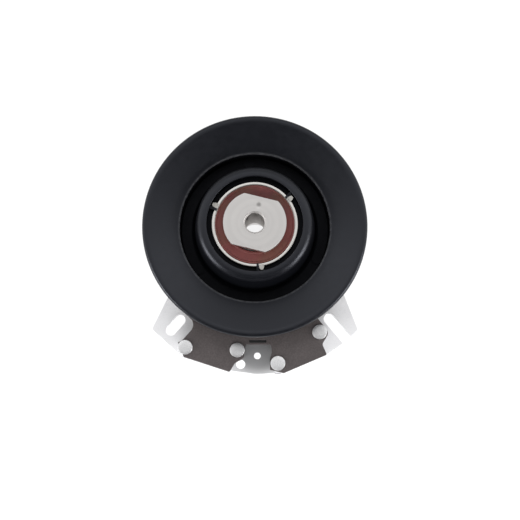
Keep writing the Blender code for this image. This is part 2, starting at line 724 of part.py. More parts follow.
def make_armature():
    """The armature plate, its three leaf springs and the rivets at both of their ends."""
    bore = bearing_bore + BOSS_NOSE_WALL + ARMATURE_BORE_GAP
    profile = [
        (bore, armature_base),
        (armature_radius - ARMATURE_EDGE, armature_base),
        (armature_radius, armature_base + ARMATURE_EDGE),
        (armature_radius, armature_top - ARMATURE_EDGE),
        (armature_radius - ARMATURE_EDGE, armature_top),
        (bore, armature_top),
    ]
    armature = turned("armature", profile, plain_steel)
    hole = DRIVE_RIVET_RADIUS + SEAT_GAP
    head = DRIVE_HEAD_RADIUS + SEAT_GAP
    sink = DRIVE_HEAD_HEIGHT + SEAT_GAP + POLE_GAP
    through = []
    sunk = []
    for k in range(LEAF_COUNT):
        start = LEAF_START + 2 * math.pi * k / LEAF_COUNT
        end = start + LEAF_SPAN
        px = pulley_rivet_circle * math.cos(start)
        py = pulley_rivet_circle * math.sin(start)
        ax = armature_rivet_circle * math.cos(end)
        ay = armature_rivet_circle * math.sin(end)
        through.append(circle(px, py, DRIVE_HEAD_RADIUS + HEAD_CLEARANCE))
        through.append(circle(ax, ay, hole))
        slot_at = start + math.pi / LEAF_COUNT
        through.append(ring_slot(armature_slot_circle, FLUX_SLOT_WIDTH, slot_at, ARMATURE_SLOT_SPAN))
        sunk.append(circle(ax, ay, head))
        leaf = taper_slot(px, py, LEAF_WIDTH / 2, ax, ay, LEAF_WIDTH / 2)
        spring = plate(f"leaf_spring_{k + 1}", leaf, leaf_base, leaf_top, spring_steel)
        holes = [circle(px, py, hole), circle(ax, ay, hole)]
        combine(spring, cutter(f"leaf_holes_{k + 1}", holes, leaf_base - RUNNING_GAP, leaf_top + RUNNING_GAP))
        low_head = (armature_base + POLE_GAP, armature_base + POLE_GAP + DRIVE_HEAD_HEIGHT)
        high_head = (leaf_top + SEAT_GAP, leaf_top + SEAT_GAP + DRIVE_HEAD_HEIGHT)
        heads = (low_head, high_head)
        rivet(f"armature_rivet_{k + 1}", ax, ay, heads, DRIVE_RIVET_RADIUS, DRIVE_HEAD_RADIUS, rivet_steel)
        flush_rivet(f"pulley_rivet_{k + 1}", px, py)
    below = armature_base - RUNNING_GAP
    combine(armature, cutter("armature_holes", through, below, armature_top + RUNNING_GAP))
    combine(armature, cutter("armature_sinks", sunk, below, armature_base + sink))


def flush_rivet(name, x, y):
    """A rivet from the leaf's underside up into the moat's floor, where its head lies flush."""
    head_top = leaf_base - SEAT_GAP
    profile = [
        (0, head_top - DRIVE_HEAD_HEIGHT),
        (DRIVE_HEAD_RADIUS, head_top - DRIVE_HEAD_HEIGHT),
        (DRIVE_HEAD_RADIUS, head_top),
        (DRIVE_RIVET_RADIUS, head_top),
        (DRIVE_RIVET_RADIUS, moat_floor - FLUSH_HEAD_DEPTH),
        (FLUSH_HEAD_RADIUS, moat_floor),
        (0, moat_floor),
    ]
    place(name, spun_pin(x, y, profile), pulley_paint)


def pulley_profile():
    """Half section of the pulley, from the bearing's seat round the rim and back to the housing."""
    shoulder_radius = bearing_radius - OUTER_LAND + SEAT_GAP
    pocket_in = armature_rivet_circle - DRIVE_HEAD_RADIUS - POLE_GAP
    pocket_out = root_radius - POCKET_WALL
    rear_radius = pulley_radius - REAR_FLANGE_STEP
    groove_low = rim_base + FLANGE_THICKNESS
    groove_high = groove_low + GROOVE_MOUTH
    rear_slope = (rear_radius - root_radius) * math.tan(GROOVE_ANGLE)
    front_slope = GROOVE_DEPTH * math.tan(GROOVE_ANGLE)
    housing_top = pulley_bearing_top + HOUSING_RISE
    recess_floor = pulley_bearing_top - RECESS_DEPTH
    counterbore = seat_radius + HOUSING_LIP
    lip_height = rim_face - FACE_DISH
    profile = [
        (seat_radius, pulley_bearing_base - SEAT_GAP),
        (shoulder_radius, pulley_bearing_base - SEAT_GAP),
        (shoulder_radius, pulley_bearing_base - PULLEY_SHOULDER),
        (seat_radius, pulley_bearing_base - PULLEY_SHOULDER - POLE_GAP),
        (seat_radius, web_base),
        (pocket_in, web_base),
        (pocket_in, web_base + WEB_POCKET),
        (pocket_out, web_base + WEB_POCKET),
        (pocket_out, rim_base),
        (rear_radius - RIM_ROUND, rim_base),
        (rear_radius, rim_base + RIM_ROUND),
        (rear_radius, groove_low - RIM_ROUND / 2),
        (rear_radius - RIM_ROUND / 2, groove_low),
        (root_radius + GROOVE_ROOT_FILLET, groove_low + rear_slope),
        (root_radius, groove_low + rear_slope + GROOVE_ROOT_FILLET),
        (root_radius, groove_high - front_slope - GROOVE_ROOT_FILLET),
        (root_radius + GROOVE_ROOT_FILLET, groove_high - front_slope),
        (pulley_radius - RIM_ROUND / 2, groove_high),
    ]
    front = pulley_radius - FRONT_ROUND
    profile += arc(front, rim_face - FRONT_ROUND, FRONT_ROUND, 0, math.pi / 2, 3)
    crest = front - CREST_WIDTH
    face_in = lip_radius + LIP_ROUND
    slope = math.atan2(FACE_DISH, crest - face_in)
    crest_reach = CREST_ROUND * math.tan(slope / 2)
    crest_x = crest + crest_reach
    profile += arc(crest_x, rim_face - CREST_ROUND, CREST_ROUND, math.pi / 2, math.pi / 2 + slope, 2)
    profile += arc(face_in, lip_height - LIP_ROUND, LIP_ROUND, math.pi / 2 + slope, math.pi, 2)
    lip_fillet = lip_radius - MOAT_FILLET
    foot_fillet = moat_foot_radius + FOOT_FILLET
    profile += arc(lip_fillet, moat_floor + MOAT_FILLET, MOAT_FILLET, 0, -math.pi / 2, 2)
    profile += arc(foot_fillet, moat_floor + FOOT_FILLET, FOOT_FILLET, -math.pi / 2, -math.pi, 3)
    round_centre = (housing_radius - HOUSING_ROUND, housing_top - HOUSING_ROUND)
    profile += arc(*round_centre, HOUSING_ROUND, 0, math.pi / 2, 4)
    profile += [(counterbore, housing_top), (counterbore, recess_floor), (seat_radius, recess_floor)]
    return profile


def make_stakes():
    """Blocks in the recess round the bearing, each with a lip pushed over the outer race."""
    bm = bmesh.new()
    inner = seat_radius - STAKE_REACH
    outer = seat_radius + HOUSING_LIP + POLE_GAP
    lip_base = pulley_bearing_top + SEAT_GAP
    stake_base = pulley_bearing_top - RECESS_DEPTH - STAKE_SINK
    stake_top = lip_base + STAKE_THICKNESS
    section = [
        (seat_radius, stake_base),
        (outer, stake_base),
        (outer, stake_top),
        (inner, stake_top),
        (inner, lip_base),
        (seat_radius, lip_base),
    ]
    for turn in STAKE_ANGLES:
        side = [(radius, -STAKE_WIDTH / 2, height) for radius, height in section]
        stake = extrude(bm, side, (0, STAKE_WIDTH, 0))
        bmesh.ops.rotate(bm, verts=stake, cent=(0, 0, 0), matrix=Matrix.Rotation(turn, 3, "Z"))
    return guide("stakes", bm)


def make_pulley():
    """The grooved pulley with its bearing housing, staked over the outer race at three places."""
    pulley = turned("pulley", pulley_profile(), pulley_paint, PULLEY_STEPS)
    combine(pulley, make_stakes(), "UNION")
    hole = DRIVE_RIVET_RADIUS + SEAT_GAP
    sink = FLUSH_HEAD_RADIUS + SEAT_GAP
    beyond = sink + RUNNING_GAP * (sink - hole) / FLUSH_HEAD_DEPTH
    profile = [
        (0, web_base - RUNNING_GAP),
        (hole, web_base - RUNNING_GAP),
        (hole, moat_floor - FLUSH_HEAD_DEPTH),
        (beyond, moat_floor + RUNNING_GAP),
        (0, moat_floor + RUNNING_GAP),
    ]
    for k in range(LEAF_COUNT):
        turn = LEAF_START + 2 * math.pi * k / LEAF_COUNT
        x = pulley_rivet_circle * math.cos(turn)
        y = pulley_rivet_circle * math.sin(turn)
        combine(pulley, guide(f"web_hole_{k + 1}", spun_pin(x, y, profile)))


def slot_ends(start, turn, length):
    """Centres of a slot's two round ends, as x0, y0, x1, y1."""
    x, y = below_wall(*start)
    return x, y, x + length * math.cos(turn), y + length * math.sin(turn)


def shelf_outline():
    """Plan of the bracket's raised shelf, round the rotor and out to both slotted ears."""
    inner = rotor_radius + WALL_CLEARANCE + RUNNING_GAP
    neck = BRACKET_NECK_WIDTH / 2
    relief = neck + NECK_RELIEF
    dip = math.asin(relief / inner)
    corners = [below_wall(*corner) for corner in (LEFT_EAR_TIP, *SHELF_CORNERS)]
    corners.append((inner * math.cos(RIGHT_EAR_TOP), inner * math.sin(RIGHT_EAR_TOP), 0.0))
    outline = rounded(corners)
    outline += arc(0, 0, inner, RIGHT_EAR_TOP, -math.pi / 2 + dip, 6)[1:]
    slit = bend_y - 2 * BEND_RADIUS - BRACKET_THICKNESS
    overlap = slit + RUNNING_GAP
    outline += [(relief, slit - RUNNING_GAP), (neck, slit - RUNNING_GAP), (neck, overlap)]
    outline += [(-neck, overlap), (-neck, slit - RUNNING_GAP), (-relief, slit - RUNNING_GAP)]
    outline += arc(0, 0, inner, -math.pi / 2 - dip, LEFT_EAR_TOP - 2 * math.pi, 6)
    ear_top = (inner * math.cos(LEFT_EAR_TOP), inner * math.sin(LEFT_EAR_TOP), 0.0)
    return outline + rounded([ear_top, below_wall(*LEFT_EAR_SHOULDER), below_wall(*LEFT_EAR_TIP)])[1:-4]


def bracket_section():
    """Side section (y, z) of the folded neck: base, bend up, wall, bend out, shelf."""
    t = BRACKET_THICKNESS
    r = BEND_RADIUS
    low_y = bend_y + r
    high_y = bend_y - t - r
    shelf = bracket_shelf
    outer_low = arc(low_y, t + r, r + t, -math.pi / 2, -math.pi, BEND_STEPS)
    inner_high = arc(high_y, shelf - r, r, 0, math.pi / 2, BEND_STEPS)
    outer_high = arc(high_y, shelf - r, r + t, math.pi / 2, 0, BEND_STEPS)
    inner_low = arc(low_y, t + r, r, math.pi, math.pi * 1.5, BEND_STEPS)
    tail = high_y - NECK_OVERLAP
    start = -field_radius / 2
    section = [(start, 0)] + outer_low + inner_high + [(tail, shelf), (tail, shelf + t)]
    return section + outer_high + inner_low + [(start, t)]


def make_bracket():
    """The zinc-plated bracket: a ring under the field, a neck folded up, and a shelf with slotted ears."""
    bracket = plate("bracket", shelf_outline(), bracket_shelf, BRACKET_RISE, zinc)
    bm = bmesh.new()
    side = [(-BRACKET_NECK_WIDTH / 2, y, z) for y, z in bracket_section()]
    extrude(bm, side, (BRACKET_NECK_WIDTH, 0, 0))
    combine(bracket, guide("bracket_neck", bm), "UNION")
    base = circle(0, 0, field_radius - BRACKET_BASE_INSET, 48)
    combine(bracket, cutter("bracket_base", [base], 0.0, BRACKET_THICKNESS), "UNION")
    opening = circle(0, 0, bearing_radius - SHOULDER_WIDTH + BRACKET_HOLE_MARGIN, BEARING_STEPS)
    combine(bracket, cutter("bracket_opening", [opening], -RUNNING_GAP, BRACKET_THICKNESS + RUNNING_GAP))
    holes = [circle(*below_wall(x, drop), RIVET_RADIUS + SEAT_GAP) for x, drop in RIVET_PLACES]
    for x, drop, radius in (SMALL_HOLE, LARGE_HOLE):
        holes.append(circle(*below_wall(x, drop), radius))
    x0, y0, x1, y1 = slot_ends(LEFT_SLOT_END, LEFT_SLOT_TURN, SLOT_LENGTH)
    holes.append(taper_slot(x0, y0, SLOT_RADIUS, x1, y1, SLOT_RADIUS))
    # The open slot runs on past the ear's edge
    x0, y0, x1, y1 = slot_ends(RIGHT_SLOT_END, RIGHT_SLOT_TURN, pulley_radius / 2)
    holes.append(taper_slot(x0, y0, SLOT_RADIUS, x1, y1, SLOT_RADIUS))
    combine(bracket, cutter("bracket_holes", holes, bracket_shelf - RUNNING_GAP, BRACKET_RISE + RUNNING_GAP))


def brake_outline():
    """Plan of the brake plate: an arc over the armature's rim, and two wings with a gap between them."""
    inner = armature_radius - BRAKE_OVERLAP
    low = -math.pi / 2 - BRAKE_SPAN
    high = -math.pi / 2 + BRAKE_SPAN
    corners = [(inner * math.cos(low), inner * math.sin(low), 0.0)]
    corners += [below_wall(*corner) for corner in BRAKE_CORNERS]
    corners.append((inner * math.cos(high), inner * math.sin(high), 0.0))
    return rounded(corners) + arc(0, 0, inner, high, low, 14)[1:-1]


def make_brake():
    """The brake plate over the armature's rim, its two pads, and the rivets and spacers to the bracket."""
    brake = plate("brake_plate", brake_outline(), brake_base, brake_top, brake_steel)
    x0, y0, x1, y1 = slot_ends(LEFT_SLOT_END, LEFT_SLOT_TURN, SLOT_LENGTH)
    scoop = taper_slot(x0, y0, SCOOP_RADIUS, x1, y1, SCOOP_END_RADIUS)
    holes = [circle(*below_wall(x, drop), RIVET_RADIUS + SEAT_GAP) for x, drop in RIVET_PLACES]
    slit = [below_wall(x, drop) for x, drop in SLIT_ENDS]
    slit += [(x, y - SLIT_WIDTH) for x, y in reversed(slit)]
    combine(brake, cutter("brake_scoop", [scoop], brake_base - RUNNING_GAP, brake_top + RUNNING_GAP))
    combine(brake, cutter("brake_holes", holes + [slit], brake_base - RUNNING_GAP, brake_top + RUNNING_GAP))
    pad_radius = armature_radius - PAD_WIDTH / 2 - POLE_GAP
    for side, name in ((-1, "brake_pad_left"), (1, "brake_pad_right")):
        middle = -math.pi / 2 + side * PAD_OFFSET
        plate(name, ring_slot(pad_radius, PAD_WIDTH, middle, PAD_SPAN), pad_base, pad_top, friction_material)
    low_head = (bracket_shelf - SEAT_GAP - RIVET_HEAD_HEIGHT, bracket_shelf - SEAT_GAP)
    heads = (low_head, (rivet_head_base, rivet_top))
    for index, (x, drop) in enumerate(RIVET_PLACES, start=1):
        px, py = below_wall(x, drop)
        size = (RIVET_RADIUS, RIVET_HEAD_RADIUS)
        rivet(f"bracket_rivet_{index}", px, py, heads, *size, rivet_steel, RIVET_HEAD_EDGE)
        inner = RIVET_RADIUS + SEAT_GAP
        low = BRACKET_RISE + SEAT_GAP
        high = brake_base - SEAT_GAP
        tube = [(inner, low), (SPACER_RADIUS, low), (SPACER_RADIUS, high), (inner, high)]
        bm = bmesh.new()
        spin_profile(bm, tube, SMALL_STEPS)
        bmesh.ops.translate(bm, verts=bm.verts, vec=(px, py, 0))
        place(f"brake_spacer_{index}", bm, zinc)


for old in list(bpy.data.objects):
    bpy.data.objects.remove(old)

# The outline's reach towards -Y sets where the axis stands, so that the part is centred on its origin
reach_down = -min(y for _, y in brake_outline())
axis_empty = bpy.data.objects.new("turning_axis", None)
axis_empty.location = (0, (reach_down - pulley_radius) / 2, 0)
bpy.context.scene.collection.objects.link(axis_empty)

pulley_paint = material("pulley_paint", (0.012, 0.013, 0.015), 0.42, 0.0)
race_steel = material("race_steel", (0.62, 0.60, 0.58), 0.24, 1.0)
disc_steel = material("disc_steel", (0.60, 0.58, 0.56), 0.38, 1.0)
plain_steel = material("plain_steel", (0.42, 0.41, 0.40), 0.40, 1.0)
spring_steel = material("spring_steel", (0.16, 0.19, 0.26), 0.32, 1.0)
rivet_steel = material("rivet_steel", (0.60, 0.60, 0.60), 0.36, 1.0)
zinc = material("zinc", (0.55, 0.56, 0.57), 0.40, 1.0)
field_paint = material("field_paint", (0.015, 0.015, 0.016), 0.55, 0.0)
brake_steel = material("brake_steel", (0.105, 0.092, 0.092), 0.55, 0.6)
seal_rubber = material("seal_rubber", (0.145, 0.052, 0.047), 0.60, 0.0)
cage_finish = material("cage_steel", (0.50, 0.48, 0.44), 0.35, 1.0)
friction_material = material("friction_material", (0.060, 0.050, 0.042), 0.85, 0.0)
bobbin_plastic = material("bobbin_plastic", (0.030, 0.028, 0.026), 0.50, 0.0)
connector_plastic = material("connector_plastic", (0.020, 0.020, 0.022), 0.45, 0.0)
copper = material("copper", (0.55, 0.24, 0.12), 0.35, 1.0)
brass = material("brass", (0.62, 0.47, 0.20), 0.30, 1.0)
guide_finish = material("guide", (0.8, 0.2, 0.2), 0.5, 0.0)

make_bracket()
make_field_shell()
make_coil()
make_bearing("field_bearing", field_bearing_base)
make_rotor()
make_drive_hub()
make_hub_rings()
make_armature()
make_bearing("pulley_bearing", pulley_bearing_base)
make_pulley()
make_brake()
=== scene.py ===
"""Looks of the electric PTO clutch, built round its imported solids.

Metres, +Z up, in the solids' frame. The turning axis is vertical. Turned pieces are made
from finer half sections and plates from finer outlines than the solids have, and every
surface gets a finish made of nodes.
"""

import json
import math

import bmesh
import bpy
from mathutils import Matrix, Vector


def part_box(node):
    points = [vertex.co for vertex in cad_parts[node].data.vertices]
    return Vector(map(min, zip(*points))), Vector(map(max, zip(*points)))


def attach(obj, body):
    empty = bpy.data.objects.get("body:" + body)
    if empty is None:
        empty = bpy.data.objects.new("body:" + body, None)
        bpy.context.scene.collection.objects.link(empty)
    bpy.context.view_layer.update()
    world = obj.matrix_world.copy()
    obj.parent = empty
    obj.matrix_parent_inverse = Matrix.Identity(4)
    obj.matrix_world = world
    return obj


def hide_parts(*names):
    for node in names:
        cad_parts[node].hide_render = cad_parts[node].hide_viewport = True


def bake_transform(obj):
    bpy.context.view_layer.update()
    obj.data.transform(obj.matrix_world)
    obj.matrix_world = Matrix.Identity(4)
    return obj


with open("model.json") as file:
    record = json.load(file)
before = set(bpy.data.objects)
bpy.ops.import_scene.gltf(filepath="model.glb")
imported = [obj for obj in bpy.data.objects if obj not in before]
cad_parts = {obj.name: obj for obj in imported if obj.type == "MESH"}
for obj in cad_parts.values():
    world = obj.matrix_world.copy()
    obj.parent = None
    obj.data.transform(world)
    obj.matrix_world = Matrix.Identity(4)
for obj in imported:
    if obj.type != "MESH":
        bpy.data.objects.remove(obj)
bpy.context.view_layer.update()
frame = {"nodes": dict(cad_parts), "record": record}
scene = bpy.context.scene

QUARTER = math.pi / 2

# Facets
PULLEY_STEPS = 256
RING_STEPS = 160
RIVET_STEPS = 48
ARC_STEP = math.radians(11)
LEAF_STEPS = 12
SMOOTH_ANGLE = math.radians(38)
BEVEL_ANGLE = math.radians(52)

# Clearances and edges that the pieces share
SEAT_GAP = 0.0003
CUT_MARGIN = 0.0010
FINE_EDGE = 0.00025
PLATE_EDGE = 0.00035


def low_z(node):
    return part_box(node)[0].z


def high_z(node):
    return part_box(node)[1].z


def heights(node):
    return low_z(node), high_z(node)


def outer_radius(node):
    low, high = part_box(node)
    return (high.x - low.x) / 2


def middle(node):
    low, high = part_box(node)
    return (low + high) / 2


axis_y = middle("pulley").y

# Radii of the section
BORE_RADIUS = 0.0127
NOSE_RADIUS = 0.0070
NOSE_CHAMFER = 0.0011
JOURNAL_RADIUS = 0.0175
BEARING_BORE = 0.0178
DISC_RADIUS = 0.0226
COUNTERBORE_RADIUS = 0.0345
HOUSING_RADIUS = 0.0416
CREST_RADIUS = 0.0770
MOAT_FOOT_RADIUS = 0.0440
LIP_RADIUS = 0.0540
ROOT_RADIUS = 0.0630
REAR_RADIUS = 0.0785
FIELD_INNER_RADIUS = 0.0350
COIL_OUTER_RADIUS = 0.0565
bearing_radius = outer_radius("pulley_bearing_outer_race")
seat_radius = bearing_radius + SEAT_GAP
pulley_radius = outer_radius("pulley")
field_radius = outer_radius("field_shell")
rotor_radius = outer_radius("rotor")
armature_radius = outer_radius("armature")

# Heights of the section
MOAT_FLOOR = 0.0456
RIM_BASE = 0.0469
RIM_FACE = 0.0669
GROOVE_LOW = 0.0499
GROOVE_HIGH = 0.0639
LIP_HEIGHT = 0.0589
RECESS_DEPTH = 0.0030
NOSE_BORE_BASE = 0.0385
web_base = low_z("pulley")
housing_top = high_z("pulley")
race_top = high_z("pulley_bearing_outer_race")
race_low = low_z("pulley_bearing_outer_race")
disc_top = high_z("drive_hub")
hub_rear = low_z("drive_hub")

# Leaf springs, rivets and spacers
LEAF_HALF_WIDTH = 0.0060
DRIVE_SHANK = 0.0021
DRIVE_HEAD = 0.0034
DRIVE_HEAD_HEIGHT = 0.0014
DRIVE_HOLE = 0.0024
FLUSH_HEAD = 0.0028
FLUSH_HEAD_DEPTH = 0.0009
FLUSH_HOLE = 0.0031
SPACER_BORE = 0.0029
SPACER_RADIUS = 0.0046

# Plan of the bracket and the brake plate, from the axis and from the bracket's wall
WALL_CLEARANCE = 0.0019
BRACKET_THICKNESS = 0.0030
BEND_RADIUS = 0.0030
NECK_HALF = 0.0350
SLOT_RADIUS = 0.0040
SLOT_LENGTH = 0.0100
LEFT_SLOT = (-0.0549, 0.0036, math.radians(228.7))
RIGHT_SLOT = (0.0544, 0.0044, math.radians(-49.8))
wall_y = axis_y - rotor_radius - WALL_CLEARANCE


def below_wall(x, drop, *radius):
    """A place in plan whose height on the sheet is counted from the bracket's wall."""
    return x, wall_y + drop, *radius


def all_below_wall(*corners):
    return [below_wall(*corner) for corner in corners]


def polar(radius, angle):
    """A place in plan, from the axis."""
    return radius * math.cos(angle), axis_y + radius * math.sin(angle)


# Turns and places on the front face
STAKE_ANGLES = (math.radians(159), math.radians(41), math.radians(274))
FLATS_TURN = math.radians(90 - 14)
PUNCH_MARK = polar(0.0133, math.radians(77.5))


# Outlines and sections

def arc(x, y, radius, start, end):
    """Points along an arc, both ends included."""
    steps = max(2, math.ceil(abs(end - start) / ARC_STEP))
    turns = [start + (end - start) * k / steps for k in range(steps + 1)]
    return [(x + radius * math.cos(turn), y + radius * math.sin(turn)) for turn in turns]


def circle(x, y, radius):
    return arc(x, y, radius, 0, 2 * math.pi)[:-1]


def rectangle(x0, y0, x1, y1):
    return [(x0, y0), (x1, y0), (x1, y1), (x0, y1)]


def round_ended(x0, y0, x1, y1, radius):
    """A straight strip with round ends."""
    turn = math.atan2(y1 - y0, x1 - x0)
    near = arc(x0, y0, radius, turn + QUARTER, turn + 3 * QUARTER)
    return near + arc(x1, y1, radius, turn - QUARTER, turn + QUARTER)


def filleted(corners, closed=True):
    """Points along the corners (a, b, radius), each corner rounded by its own radius."""
    points = []
    count = len(corners)
    for index, (a, b, radius) in enumerate(corners):
        pa, pb, _ = corners[index - 1]
        na, nb, _ = corners[(index + 1) % count]
        back = math.atan2(pb - b, pa - a)
        ahead = math.atan2(nb - b, na - a)
        opening = (ahead - back + math.pi) % (2 * math.pi) - math.pi
        straight = abs(abs(opening) - math.pi) < math.radians(0.5)
        if radius <= 0 or straight or (not closed and index in (0, count - 1)):
            points.append((a, b))
            continue
        reach = radius / abs(math.tan(opening / 2))
        centre = radius / abs(math.sin(opening / 2))
        ca = a + centre * math.cos(back + opening / 2)
        cb = b + centre * math.sin(back + opening / 2)
        start = math.atan2(b + reach * math.sin(back) - cb, a + reach * math.cos(back) - ca)
        points += arc(ca, cb, radius, start, start + math.copysign(math.pi - abs(opening), -opening))
    return points


def ring_slot(radius, width, middle_turn, span):
    """A curved slot along a circle round the axis, with round ends."""
    half = width / 2
    start = middle_turn - span / 2
    end = middle_turn + span / 2
    outline = arc(0, axis_y, radius + half, start, end)
    outline += arc(*polar(radius, end), half, end, end + math.pi)[1:-1]
    outline += arc(0, axis_y, radius - half, end, start)
    outline += arc(*polar(radius, start), half, start + math.pi, start + 2 * math.pi)[1:-1]
    return outline


# Meshes

def keep_modified(piece):
    """Apply the piece's modifiers."""
    depsgraph = bpy.context.evaluated_depsgraph_get()
    mesh = bpy.data.meshes.new_from_object(piece.evaluated_get(depsgraph), depsgraph=depsgraph)
    piece.modifiers.clear()
    piece.data = mesh
    return piece


def settle(piece):
    """Apply the modifiers and shade the piece smooth up to its sharp edges."""
    keep_modified(piece)
    piece.data.shade_smooth()
    piece.data.set_sharp_from_angle(angle=SMOOTH_ANGLE)
    return piece


def made_from(name, bm, finish=None):
    bmesh.ops.recalc_face_normals(bm, faces=bm.faces)
    mesh = bpy.data.meshes.new(name)
    bm.to_mesh(mesh)
    bm.free()
    if finish:
        mesh.materials.append(finishes[finish])
    piece = bpy.data.objects.new(name, mesh)
    scene.collection.objects.link(piece)
    mesh.shade_smooth()
    mesh.set_sharp_from_angle(angle=SMOOTH_ANGLE)
    return piece


def revolve(bm, section, steps, x=0.0, y=None, closed=True):
    """Turn a half section of (radius, height) once round an upright line."""
    y = axis_y if y is None else y
    columns = []
    for radius, height in section:
        if radius < 1e-7:
            columns.append([bm.verts.new((x, y, height))] * steps)
            continue
        turns = [2 * math.pi * k / steps for k in range(steps)]
        places = [(x + radius * math.cos(turn), y + radius * math.sin(turn), height) for turn in turns]
        columns.append([bm.verts.new(place) for place in places])
    pairs = list(zip(columns, columns[1:]))
    if closed:
        pairs.append((columns[-1], columns[0]))
    for low, high in pairs:
        for k in range(steps):
            corners = [low[k], low[(k + 1) % steps], high[(k + 1) % steps], high[k]]
            distinct = list(dict.fromkeys(corners))
            if len(distinct) > 2:
                bm.faces.new(distinct)


def spun(name, section, finish=None, x=0.0, y=None, steps=RIVET_STEPS, closed=True):
    """A piece turned from a half section of (radius, height)."""
    bm = bmesh.new()
    revolve(bm, section, steps, x, y, closed)
    return made_from(name, bm, finish)


def tube(inner, outer, low, high, inner_edge, outer_edge):
    """Corners (radius, height, fillet) of a plain ring."""
    return [
        (inner, low, inner_edge),
        (outer, low, outer_edge),
        (outer, high, outer_edge),
        (inner, high, inner_edge),
    ]


def turned(name, corners, finish, steps=RING_STEPS):
    """A ring turned from the corners (radius, height, fillet) of its closed section."""
    return spun(name, filleted(corners), finish, steps=steps)


def sweep(bm, corners, move):
    """Close the corners with a face and draw it out along a line."""
    face = bm.faces.new([bm.verts.new(corner) for corner in corners])
    grown = bmesh.ops.extrude_face_region(bm, geom=[face])["geom"]
    moved = [part for part in grown if isinstance(part, bmesh.types.BMVert)]
    bmesh.ops.translate(bm, verts=moved, vec=move)


def prism(name, outlines, base, top, finish=None):
    """A piece of one height, raised from its outlines in plan."""
    bm = bmesh.new()
    for outline in outlines:
        sweep(bm, [(x, y, base) for x, y in outline], (0, 0, top - base))
    return made_from(name, bm, finish)


def block(name, low, high, finish=None):
    return prism(name, [rectangle(*low[:2], *high[:2])], low[2], high[2], finish)


def combine(target, tool, operation="DIFFERENCE"):
    """Join the tool to the target or cut it out, and remove the tool."""
    step = target.modifiers.new("combine", "BOOLEAN")
    step.operation = operation
    step.object = tool
    step.solver = "EXACT"
    settle(target)
    bpy.data.objects.remove(tool)
    return target


def cut_through(target, outlines, low, high):
    """Cut the outlines out between two heights, a margin beyond both."""
    return combine(target, prism("cut", outlines, low - CUT_MARGIN, high + CUT_MARGIN))


def soften(piece, width, segments=2):
    """Round the sharp edges of a plate or a block, and shade its flat faces as flat ones."""
    step = piece.modifiers.new("edges", "BEVEL")
    step.width = width
    step.segments = segments
    step.limit_method = "ANGLE"
    step.angle_limit = BEVEL_ANGLE
    settle(piece)
    step = piece.modifiers.new("flat_faces", "WEIGHTED_NORMAL")
    step.keep_sharp = True
    return keep_modified(piece)


def show(piece, body, slot, *nodes):
    """Carry the piece with its body and let it stand for its solids."""
    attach(piece, body)
    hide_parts(*nodes)


# Finishes

class Nodes:
    """The node tree of a material or a world, whose nodes are added one by one."""

    def __init__(self, owner):
        owner.use_nodes = True
        self.tree = owner.node_tree

    def node(self, kind, **settings):
        made = self.tree.nodes.new("ShaderNode" + kind)
        for name, value in settings.items():
            setattr(made, name, value)
        return made

    def feed(self, socket, value):
        if isinstance(value, bpy.types.NodeSocket):
            self.tree.links.new(value, socket)
        else:
            socket.default_value = value

    def output(self, kind, inputs, **settings):
        """A new node's first output, with its inputs fed in order."""
        made = self.node(kind, **settings)
        for socket, value in zip(made.inputs, inputs):
            self.feed(socket, value)
        return made.outputs[0]

    def maths(self, operation, *values):
        return self.output("Math", values, operation=operation)

    def times(self, first, second):
        return self.maths("MULTIPLY", first, second)

    def minus(self, first, second):
        return self.maths("SUBTRACT", first, second)

    def rays(self, *kinds):
        """1 for rays of these kinds and 0 for the rest."""
        path = self.node("LightPath")
        total = path.outputs[kinds[0]]
        for kind in kinds[1:]:
            total = self.maths("MAXIMUM", total, path.outputs[kind])
        return total


